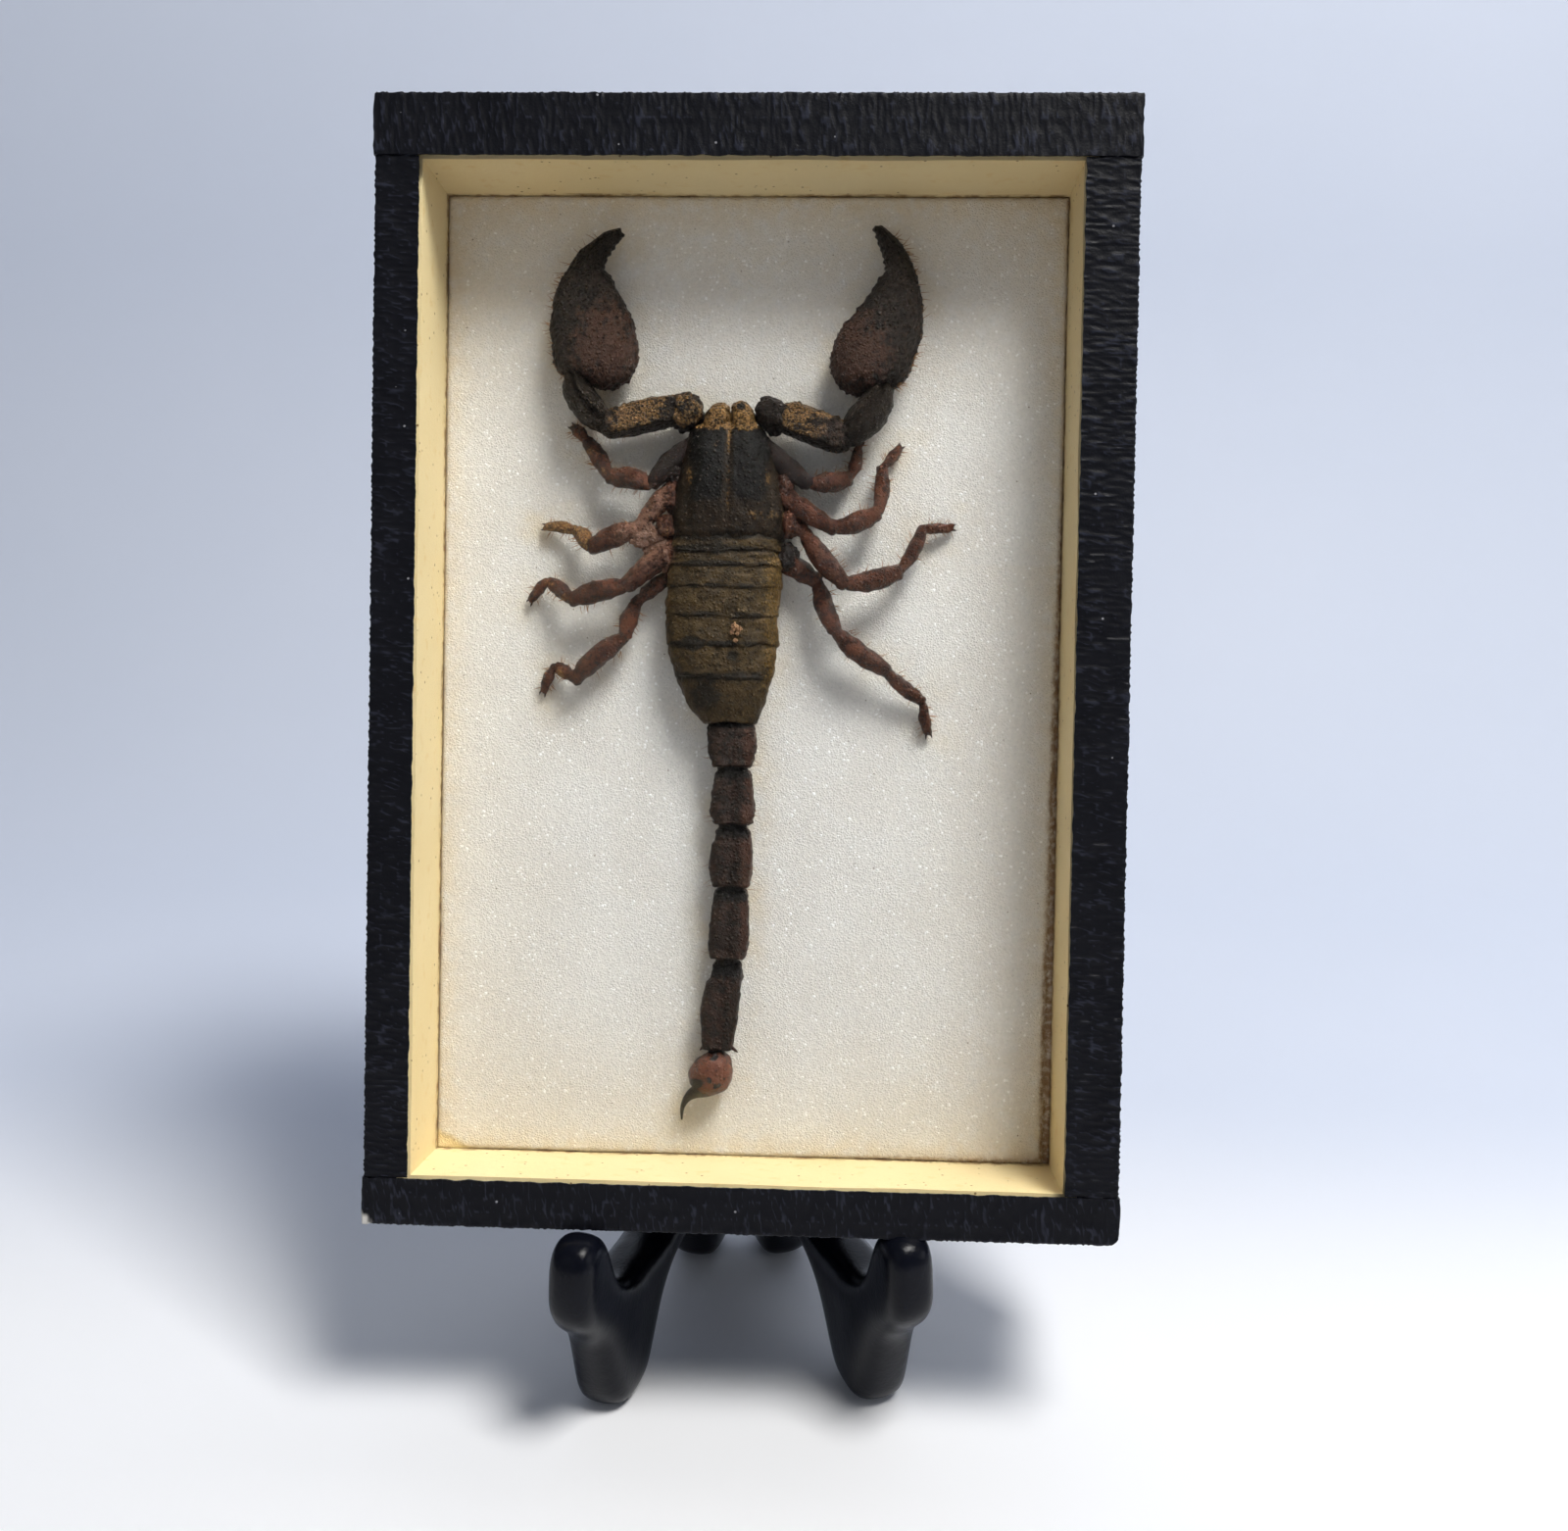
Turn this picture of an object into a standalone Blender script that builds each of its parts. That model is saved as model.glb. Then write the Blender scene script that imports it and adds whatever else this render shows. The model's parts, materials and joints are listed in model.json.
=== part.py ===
"""Framed scorpion specimen: a dried scorpion on a foam bed, in a shallow glazed
case bound with black paper tape, leaning on a folding two-board easel.

Metres, +Z up, front towards -Y. Everything hangs under one empty, which stands
the finished object on the floor with the middle of its bounding box at x = y = 0.
"""
import math

import bmesh
import bpy
from mathutils import Matrix, Vector

MM = 0.001
GAP = 0.3 * MM          # clearance between two pieces that touch

# Case, described upright: x to the right, y from the front to the back, z up
CASE_WIDTH = 130.0 * MM
CASE_HEIGHT = 194.0 * MM
CASE_DEPTH = 30.0 * MM
LEAN_DEG = 15.0
TAPE_THICKNESS = 0.5 * MM
TAPE_EDGE_RADIUS = 0.8 * MM
BORDER_LEFT = 7.7 * MM
BORDER_RIGHT = 9.2 * MM
BORDER_TOP = 10.4 * MM
BORDER_BOTTOM = 8.0 * MM
GLASS_THICKNESS = 1.8 * MM
BACK_THICKNESS = 2.3 * MM
FOAM_DEPTH = 19.6 * MM          # from the front of the case down to the foam
FOAM_EDGE_RADIUS = 0.5 * MM
FOAM_CORNER_CUT = (4.6 * MM, 2.8 * MM)      # worn lower left corner
FOAM_RIGHT_SHRINK = 1.5 * MM                # the bed stands off the wall low on the right

# Easel: two hinged boards that stand in a V, hooks forward, hinge at the back
HOOK_HEIGHT = 40.0 * MM         # floor to the front lower edge of the case
BOARD_THICKNESS = 11.0 * MM
BOARD_EDGE_RADIUS = 4.3 * MM
BOARD_HALF_ANGLE_DEG = 18.7
EASEL_TURN_DEG = 4.4            # the easel stands a little askew under the case
HINGE_X = -4.0 * MM
HINGE_Y = 63.5 * MM             # behind the front lower edge of the case
HINGE_HEIGHTS = {"lower": 30.0 * MM, "upper": 84.0 * MM}
HINGE_LENGTH = 16.0 * MM
HINGE_PIN_RADIUS = 0.6 * MM
KNUCKLE_RADIUS = 1.6 * MM
LEAF_THICKNESS = 0.65 * MM
LEAF_REACH = 9.5 * MM
BOARD_REAR = KNUCKLE_RADIUS + GAP           # rear edge of a board, ahead of the hinge axis
KNUCKLE_SIDES = 16
PIN_SIDES = 12

# Board outline: distance ahead of the hinge, height, corner radius, in millimetres
BOARD_CORNERS = (
    (BOARD_REAR / MM, 0.0, 4.4),
    (14.5, 0.0, 4.4),
    (21.0, 15.5, 9.0),
    (39.5, 15.5, 16.0),
    (52.5, 0.0, 4.4),
    (66.5, 0.0, 6.0),
    (68.0, 21.0, 6.0),
    (76.0, 25.5, 5.5),
    (75.5, 39.8, 6.0),
    (65.0, 37.6, 4.5),
    (60.5, 24.5, 9.0),
    (34.0, 22.5, 7.0),
    (11.0, 117.5, 4.6),
    (BOARD_REAR / MM, 119.0, 4.4),
)

# Colours (linear) and surface values
BLACK_TAPE = ((0.012, 0.013, 0.016), 0.62, 0.0)
BLACK_PAINT = ((0.010, 0.010, 0.012), 0.32, 0.0)
CREAM_BOARD = ((0.80, 0.63, 0.33), 0.75, 0.0)
BROWN_BOARD = ((0.28, 0.20, 0.12), 0.85, 0.0)
WHITE_FOAM = ((0.82, 0.79, 0.76), 0.80, 0.0)
CLEAR_GLASS = ((0.90, 0.95, 0.93), 0.03, 0.0)
BODY_BROWN = ((0.070, 0.050, 0.020), 0.60, 0.0)
CLAW_BROWN = ((0.045, 0.025, 0.018), 0.60, 0.0)
LEG_BROWN = ((0.110, 0.035, 0.022), 0.50, 0.0)
HINGE_BRASS = ((0.55, 0.40, 0.16), 0.35, 1.0)


def clear_scene():
    for obj in list(bpy.data.objects):
        bpy.data.objects.remove(obj, do_unlink=True)


def material(name, look):
    colour, roughness, metallic = look
    mat = bpy.data.materials.get(name) or bpy.data.materials.new(name)
    mat.use_nodes = True
    shader = mat.node_tree.nodes["Principled BSDF"]
    shader.inputs["Base Color"].default_value = (*colour, 1.0)
    shader.inputs["Roughness"].default_value = roughness
    shader.inputs["Metallic"].default_value = metallic
    return mat


def empty(name, parent=None, location=(0, 0, 0), rotation=(0, 0, 0)):
    obj = bpy.data.objects.new(name, None)
    bpy.context.collection.objects.link(obj)
    obj.parent = parent
    obj.location = location
    obj.rotation_euler = rotation
    return obj


def finish_piece(name, bm, parent, mat, smooth_angle=None):
    """Turn a bmesh into a named object under its parent."""
    bmesh.ops.recalc_face_normals(bm, faces=bm.faces)
    mesh = bpy.data.meshes.new(name)
    bm.to_mesh(mesh)
    bm.free()
    mesh.materials.append(mat)
    if smooth_angle is not None:
        mesh.shade_smooth()
        mesh.set_sharp_from_angle(angle=math.radians(smooth_angle))
    obj = bpy.data.objects.new(name, mesh)
    bpy.context.collection.objects.link(obj)
    obj.parent = parent
    return obj


def apply_boolean(target, other, operation):
    """Join or cut target with other, then drop the other object."""
    modifier = target.modifiers.new(operation.lower(), "BOOLEAN")
    modifier.operation = operation
    modifier.solver = "EXACT"
    modifier.use_self = operation == "DIFFERENCE"
    modifier.object = other
    bpy.context.view_layer.update()
    graph = bpy.context.evaluated_depsgraph_get()
    result = bpy.data.meshes.new_from_object(target.evaluated_get(graph))
    target.modifiers.clear()
    target.data = result
    bpy.data.objects.remove(other, do_unlink=True)


def box_mesh(low, high):
    bm = bmesh.new()
    bmesh.ops.create_cube(bm, size=1.0)
    low = Vector(low)
    high = Vector(high)
    bmesh.ops.scale(bm, vec=high - low, verts=bm.verts)
    bmesh.ops.translate(bm, vec=(low + high) / 2, verts=bm.verts)
    return bm


def prism_mesh(outline, start, end, place):
    """Extrude a flat outline; place(a, b, depth) gives the point in space."""
    bm = bmesh.new()
    face = bm.faces.new([bm.verts.new(place(a, b, start)) for a, b in outline])
    extruded = bmesh.ops.extrude_face_region(bm, geom=[face])
    moved = [item for item in extruded["geom"] if isinstance(item, bmesh.types.BMVert)]
    shift = Vector(place(0, 0, end)) - Vector(place(0, 0, start))
    bmesh.ops.translate(bm, vec=shift, verts=moved)
    return bm


# Case

def wrapped_strip(name, low, high, open_sides, parent, mat):
    """Folded paper tape: a box without its open sides, rounded and given thickness."""
    bm = box_mesh(low, high)
    bmesh.ops.recalc_face_normals(bm, faces=bm.faces)
    open_faces = [f for f in bm.faces if any(f.normal.dot(Vector(d)) > 0.9 for d in open_sides)]
    bmesh.ops.delete(bm, geom=open_faces, context="FACES")
    folds = [e for e in bm.edges if len(e.link_faces) == 2]
    bmesh.ops.bevel(bm, geom=folds, offset=TAPE_EDGE_RADIUS, segments=2, profile=0.5,
                    affect="EDGES", clamp_overlap=True)
    bmesh.ops.recalc_face_normals(bm, faces=bm.faces)
    centre = (Vector(low) + Vector(high)) / 2
    if sum((f.calc_center_median() - centre).dot(f.normal) for f in bm.faces) < 0:
        bmesh.ops.reverse_faces(bm, faces=bm.faces)
    bmesh.ops.solidify(bm, geom=bm.faces[:], thickness=TAPE_THICKNESS)
    return finish_piece(name, bm, parent, mat, smooth_angle=40)


def case_tape(parent):
    mat = material("black_tape", BLACK_TAPE)
    half = CASE_WIDTH / 2
    low_seam = BORDER_BOTTOM
    high_seam = CASE_HEIGHT - BORDER_TOP
    wrapped_strip("tape_top", (-half, 0, high_seam), (half, CASE_DEPTH, CASE_HEIGHT),
                  [(0, 0, -1)], parent, mat)
    wrapped_strip("tape_bottom", (-half, 0, 0), (half, CASE_DEPTH, low_seam),
                  [(0, 0, 1)], parent, mat)
    side_low = low_seam + GAP
    side_high = high_seam - GAP
    wrapped_strip("tape_left", (-half, 0, side_low), (-half + BORDER_LEFT, CASE_DEPTH, side_high),
                  [(1, 0, 0), (0, 0, 1), (0, 0, -1)], parent, mat)
    wrapped_strip("tape_right", (half - BORDER_RIGHT, 0, side_low), (half, CASE_DEPTH, side_high),
                  [(-1, 0, 0), (0, 0, 1), (0, 0, -1)], parent, mat)


def case_walls(parent, front, back):
    """Four cream wall strips that meet at mitred corners."""
    mat = material("cream_board", CREAM_BOARD)
    inset = TAPE_THICKNESS + GAP
    outer = (-CASE_WIDTH / 2 + inset, CASE_WIDTH / 2 - inset, inset, CASE_HEIGHT - inset)
    inner = opening_bounds()
    left, right, bottom, top = outer
    in_left, in_right, in_bottom, in_top = inner
    outlines = {
        "wall_left": [(left, bottom + GAP), (left, top - GAP),
                      (in_left, in_top - GAP), (in_left, in_bottom + GAP)],
        "wall_right": [(right, bottom + GAP), (in_right, in_bottom + GAP),
                       (in_right, in_top - GAP), (right, top - GAP)],
        "wall_top": [(left + GAP, top), (right - GAP, top),
                     (in_right - GAP, in_top), (in_left + GAP, in_top)],
        "wall_bottom": [(left + GAP, bottom), (in_left + GAP, in_bottom),
                        (in_right - GAP, in_bottom), (right - GAP, bottom)],
    }
    for name, outline in outlines.items():
        bm = prism_mesh(outline, front, back, lambda x, z, y: (x, y, z))
        finish_piece(name, bm, parent, mat)


def opening_bounds():
    """Left, right, bottom and top of the window, in the case's own frame."""
    half = CASE_WIDTH / 2
    return -half + BORDER_LEFT, half - BORDER_RIGHT, BORDER_BOTTOM, CASE_HEIGHT - BORDER_TOP


def case_foam(parent, back):
    left, right, bottom, top = opening_bounds()
    left += GAP
    right -= GAP
    bottom += GAP
    top -= GAP
    cut_x, cut_z = FOAM_CORNER_CUT
    middle = (bottom + top) / 2
    outline = [
        (left, bottom + cut_z),
        (left, top),
        (right, top),
        (right - FOAM_RIGHT_SHRINK / 2, middle),
        (right - FOAM_RIGHT_SHRINK, bottom),
        (left + cut_x, bottom),
        (left + cut_x / 4, bottom + cut_z / 4),
    ]
    bm = prism_mesh(outline, FOAM_DEPTH, back, lambda x, z, y: (x, y, z))
    rim = [e for e in bm.edges if all(abs(v.co.y - FOAM_DEPTH) < MM / 10 for v in e.verts)]
    bmesh.ops.bevel(bm, geom=rim, offset=FOAM_EDGE_RADIUS, segments=2, profile=0.5,
                    affect="EDGES", clamp_overlap=True)
    finish_piece("foam_bed", bm, parent, material("white_foam", WHITE_FOAM), smooth_angle=40)


def build_case(case):
    inset = TAPE_THICKNESS + GAP
    half = CASE_WIDTH / 2 - inset
    glass_back = inset + GLASS_THICKNESS
    board_front = CASE_DEPTH - inset - BACK_THICKNESS
    wall_front = glass_back + GAP
    wall_back = board_front - GAP
    case_tape(case)
    case_walls(case, wall_front, wall_back)
    bm = box_mesh((-half, inset, inset), (half, glass_back, CASE_HEIGHT - inset))
    finish_piece("glass_pane", bm, case, material("clear_glass", CLEAR_GLASS))
    bm = box_mesh((-half, board_front, inset), (half, CASE_DEPTH - inset, CASE_HEIGHT - inset))
    finish_piece("back_board", bm, case, material("brown_board", BROWN_BOARD))
    case_foam(case, wall_back)


# Scorpion. Places are in millimetres on the foam: u to the right and v up from the
# middle of the case, h above the foam. A ring is one cross-section of a limb or trunk.

def on_foam(u, v, h):
    return Vector((u, -h, v)) * MM


def oval(angle):
    return 1.0


def blunt(angle):
    """Fuller than an ellipse, as a shield-like back is."""
    power = 2.6
    return (abs(math.cos(angle)) ** power + abs(math.sin(angle)) ** power) ** (-1 / power)


def keeled(angle):
    """Four blunt keels along a tail segment."""
    return 1.0 + 0.085 * math.cos(4 * (angle - math.pi / 4))


def ring(left, right, low, high, outline=oval, waist=0.4):
    """A cross-section between two edge points (u, v), from height low to high."""
    return {
        "middle": ((left[0] + right[0]) / 2, (left[1] + right[1]) / 2),
        "half": ((right[0] - left[0]) / 2, (right[1] - left[1]) / 2),
        "waist": low + waist * (high - low),
        "up": (1 - waist) * (high - low),
        "down": waist * (high - low),
        "outline": outline,
    }


def ring_point(section, angle):
    reach = section["outline"](angle)
    across = math.cos(angle) * reach
    lift = math.sin(angle) * reach
    rise = section["up"] if lift > 0 else section["down"]
    return on_foam(section["middle"][0] + section["half"][0] * across,
                   section["middle"][1] + section["half"][1] * across,
                   section["waist"] + rise * lift)


def loft(rings, sides):
    """Skin a row of rings, by extruding the first one from ring to ring."""
    bm = bmesh.new()
    angle_layer = bm.verts.layers.float.new("angle")
    bmesh.ops.create_circle(bm, segments=sides, radius=1.0, cap_ends=True)
    verts = list(bm.verts)
    edges = list(bm.edges)
    for vert in verts:
        vert[angle_layer] = math.atan2(vert.co.y, vert.co.x)
        vert.co = ring_point(rings[0], vert[angle_layer])
    for section in rings[1:]:
        extruded = bmesh.ops.extrude_edge_only(bm, edges=edges)["geom"]
        verts = [item for item in extruded if isinstance(item, bmesh.types.BMVert)]
        edges = [item for item in extruded if isinstance(item, bmesh.types.BMEdge)]
        for vert in verts:
            vert.co = ring_point(section, vert[angle_layer])
    bmesh.ops.edgeloop_fill(bm, edges=edges)
    return bm


# Trunk outline from the front: v, left u, right u, top height
SHIELD = (
    (44.2, -9.6, -0.2, 6.6),
    (43.2, -11.4, 1.7, 7.8),
    (40.5, -12.3, 2.8, 8.8),
    (37.4, -13.1, 3.7, 9.4),
    (31.4, -14.2, 5.1, 10.0),
    (26.5, -14.7, 5.7, 9.8),
    (23.9, -14.6, 5.6, 9.0),
)
TERGITE_LINES = (23.6, 21.5, 18.9, 15.0, 9.9, 4.8, -0.9, -8.2)
TRUNK_EDGES = (
    (24.0, -14.9, 5.4, 9.2),
    (16.5, -15.4, 5.1, 9.6),
    (9.0, -15.7, 4.8, 9.6),
    (3.0, -14.9, 4.6, 9.2),
    (-2.2, -13.2, 3.6, 8.6),
    (-6.0, -11.3, 2.2, 7.8),
    (-8.4, -8.8, 0.9, 6.8),
)
TERGITE_STEP = 0.35
BELLY = 0.9

# Tail segments: front, widest place and rear, each as v, left u, right u; then the top
TAIL_SEGMENTS = (
    ((-8.9, -8.0, 0.9), (-13.2, -7.9, 1.3), (-17.1, -7.0, 0.5), 6.8),
    ((-17.7, -6.5, 0.5), (-25.0, -7.2, 1.1), (-27.5, -6.6, 0.8), 6.9),
    ((-28.1, -6.2, 0.5), (-34.6, -7.3, 0.9), (-38.7, -6.7, 0.5), 6.8),
    ((-39.3, -6.4, 0.2), (-48.2, -7.1, 0.4), (-51.8, -6.9, 0.0), 6.6),
    ((-52.4, -6.5, -0.6), (-60.8, -8.3, -1.2), (-68.4, -7.9, -2.3), 6.3),
)
TAIL_LOW = 0.8
TAIL_NECK = 0.4         # how far a segment draws in, each side, where it meets the next
TAIL_SHOULDER = 0.14    # where it reaches its full width, as a part of its length
TAIL_RIM = 0.8          # length of the rear rim

# Sting bulb and spine: two edge points, low and high
STING = (
    ((-6.8, -69.1), (-3.5, -69.1), 2.4, 5.4),
    ((-8.3, -70.0), (-2.8, -69.8), 1.4, 6.4),
    ((-9.8, -71.6), (-2.3, -71.3), 0.8, 7.2),
    ((-10.4, -73.4), (-2.3, -73.5), 0.6, 7.2),
    ((-9.9, -74.8), (-3.2, -75.6), 1.0, 6.6),
    ((-9.6, -75.3), (-6.0, -77.0), 2.2, 5.4),
    ((-10.2, -75.9), (-8.4, -77.4), 2.9, 4.7),
    ((-10.9, -76.9), (-9.7, -77.9), 2.9, 4.3),
    ((-11.5, -78.3), (-10.6, -78.9), 2.6, 3.7),
    ((-11.8, -79.9), (-11.1, -80.1), 2.1, 3.0),
    ((-11.7, -81.9), (-11.4, -82.0), 1.5, 1.9),
)

# Chelicerae: left and right edge of each, and its rings: v, inset each side, low and high
CHELICERA_EDGES = ((-8.9, -4.75), (-4.45, 0.0))
CHELICERA_RINGS = (
    (42.0, 0.3, 3.0, 7.4),
    (44.4, 0.0, 2.8, 7.6),
    (46.2, 0.5, 3.1, 7.2),
    (47.4, 1.2, 3.8, 6.2),
)
BODY_SIDES = 16
CHELICERA_SIDES = 10
LEG_SIDES = 8
TRIM_GAP = 1.2 * GAP        # what a limb keeps clear of the body, so that no flat dips under GAP


def between(table, v):
    """Values of the rows (v, ...) of a table, read between its rows."""
    rows = sorted(table)
    if v <= rows[0][0]:
        return rows[0][1:]
    for lower, upper in zip(rows, rows[1:]):
        if v <= upper[0]:
            part = (v - lower[0]) / (upper[0] - lower[0])
            return tuple(a + part * (b - a) for a, b in zip(lower[1:], upper[1:]))
    return rows[-1][1:]


def level_ring(v, left, right, low, high, outline):
    return ring((left, v), (right, v), low, high, outline)


def trunk_rings():
    """The shield in front, then seven back plates whose rear edges stand proud."""
    rings = [level_ring(v, left, right, BELLY, top, blunt) for v, left, right, top in SHIELD]
    for front, rear in zip(TERGITE_LINES, TERGITE_LINES[1:]):
        for v, shrink in ((front - 0.25, TERGITE_STEP), (rear + 0.35, 0.0), (rear, 0.12)):
            left, right, top = between(TRUNK_EDGES, v)
            rings.append(level_ring(v, left + shrink, right - shrink,
                                    BELLY + shrink, top - shrink, blunt))
    return rings


def tail_rings():
    rings = []
    for front, wide, rear, top in TAIL_SEGMENTS:
        shoulder = front[0] - TAIL_SHOULDER * (front[0] - rear[0])
        rows = (
            (front[0], front[1] + TAIL_NECK, front[2] - TAIL_NECK, 0.9, 1.5),
            (shoulder, front[1], front[2], 0.3, 0.6),
            (wide[0], wide[1], wide[2], 0.0, 0.0),
            (rear[0] + TAIL_RIM, rear[1], rear[2], 0.0, -0.1),
            (rear[0], rear[1] + TAIL_NECK, rear[2] - TAIL_NECK, 0.8, 1.2),
        )
        for v, left, right, lift, drop in rows:
            rings.append(level_ring(v, left, right, TAIL_LOW + lift, top - drop, keeled))
    return rings


def scorpion_body(parent):
    rings = trunk_rings() + tail_rings() + [ring(*row) for row in STING]
    mat = material("body_brown", BODY_BROWN)
    body = finish_piece("scorpion_body", loft(rings, BODY_SIDES), parent, mat, smooth_angle=50)
    for left, right in CHELICERA_EDGES:
        lobe = [level_ring(v, left + inset, right - inset, low, high, oval)
                for v, inset, low, high in CHELICERA_RINGS]
        bm = loft(lobe, CHELICERA_SIDES)
        apply_boolean(body, finish_piece("chelicera", bm, parent, mat), "UNION")
    return body


# Walking legs, from the body out: joints (u, v, h), then the half-width of each segment
LEGS = {
    "leg_left_1": (((-10.0, 41.5, 4.6), (-18.3, 33.2, 6.2), (-26.2, 34.6, 5.0),
                    (-30.7, 41.6, 2.6), (-33.8, 44.4, 1.2)), (2.0, 1.95, 1.45, 1.1)),
    "leg_left_2": (((-12.0, 35.0, 4.6), (-20.3, 25.4, 6.4), (-29.3, 21.8, 5.0),
                    (-32.2, 25.3, 3.0), (-38.6, 26.0, 1.2)), (1.8, 1.95, 1.45, 1.05)),
    "leg_left_3": (((-12.0, 23.5, 4.8), (-22.4, 14.9, 6.8), (-32.6, 12.4, 5.0),
                    (-37.3, 16.0, 2.8), (-41.0, 12.3, 1.1)), (2.1, 1.95, 1.35, 1.0)),
    "leg_left_4": (((-12.0, 19.0, 2.9), (-21.3, 12.2, 2.9), (-22.9, 6.0, 4.6),
                    (-32.2, -1.8, 3.6), (-35.9, 0.7, 2.2), (-38.4, -4.3, 1.0)),
                   (1.4, 1.6, 1.9, 1.25, 1.0)),
    "leg_right_1": (((1.0, 41.5, 4.6), (9.9, 33.5, 5.6), (17.2, 35.0, 3.6),
                     (18.5, 40.6, 1.4), (18.9, 44.0, 1.0)), (1.9, 1.85, 1.15, 0.8)),
    "leg_right_2": (((2.0, 34.4, 4.6), (14.5, 25.5, 7.0), (22.2, 28.6, 5.0),
                     (22.9, 37.0, 2.8), (26.2, 41.3, 1.2)), (1.85, 1.85, 1.4, 1.0)),
    "leg_right_3": (((2.0, 29.5, 4.8), (9.0, 25.2, 5.4), (16.7, 15.6, 7.0), (26.3, 18.2, 5.0),
                     (30.4, 26.3, 2.8), (36.0, 26.8, 1.1)), (1.75, 1.95, 1.9, 1.3, 1.0)),
    "leg_right_4": (((2.0, 23.0, 3.6), (11.6, 16.6, 3.8), (14.9, 7.4, 5.6), (24.2, 0.6, 4.2),
                     (31.0, -4.9, 2.2), (32.2, -10.9, 1.2)), (2.0, 1.75, 1.85, 1.35, 1.05)),
}
KNEE_PART = 0.68        # width at a joint, as a part of the thinner segment's
LEG_FLATNESS = 0.92     # thickness of a leg over its width


def limb_ring(centre, direction, half_width, stretch=1.0):
    """A round section across a direction in the plane of the foam."""
    u, v, h = centre
    length = math.hypot(*direction)
    side = (direction[1] / length, -direction[0] / length)
    wide = half_width * stretch
    left = (u - side[0] * wide, v - side[1] * wide)
    right = (u + side[0] * wide, v + side[1] * wide)
    lift = half_width * LEG_FLATNESS
    return ring(left, right, h - lift, h + lift, waist=0.5)


def limb_rings(joints, widths):
    """Rings of a jointed limb: full segments, narrow mitred joints, a thin tip."""
    points = [Vector(joint) for joint in joints]
    runs = [(b - a) for a, b in zip(points, points[1:])]
    flat = [Vector((run.x, run.y)).normalized() for run in runs]
    rings = []
    for index, (start, run, wide) in enumerate(zip(points, runs, widths)):
        last = index == len(runs) - 1
        if index == 0:
            rings.append(limb_ring(start, flat[0], 0.9 * wide))
            near = 0.25
        else:
            knee = KNEE_PART * min(wide, widths[index - 1])
            bend = flat[index - 1].angle(flat[index])
            middle = flat[index - 1] + flat[index]
            rings.append(limb_ring(start, middle, knee, min(1.35, 1 / math.cos(bend / 2))))
            near = (knee * math.tan(bend / 2) + 0.45) / run.length
        if last:
            shape = ((near, 0.85), (0.45, 1.0), (0.85, 0.8), (1.0, 0.35))
        else:
            knee = KNEE_PART * min(wide, widths[index + 1])
            bend = flat[index].angle(flat[index + 1])
            far = 1 - (knee * math.tan(bend / 2) + 0.45) / run.length
            shape = ((near, 0.86), (0.38, 1.0), (0.66, 0.97), (far, 0.8))
        for part, fullness in shape:
            rings.append(limb_ring(start + part * run, flat[index], fullness * wide))
    return rings


def scorpion_legs(parent):
    mat = material("leg_brown", LEG_BROWN)
    legs = []
    for name, (joints, widths) in LEGS.items():
        bm = loft(limb_rings(joints, widths), LEG_SIDES)
        legs.append(finish_piece("scorpion_" + name, bm, parent, mat, smooth_angle=60))
    return legs


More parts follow.
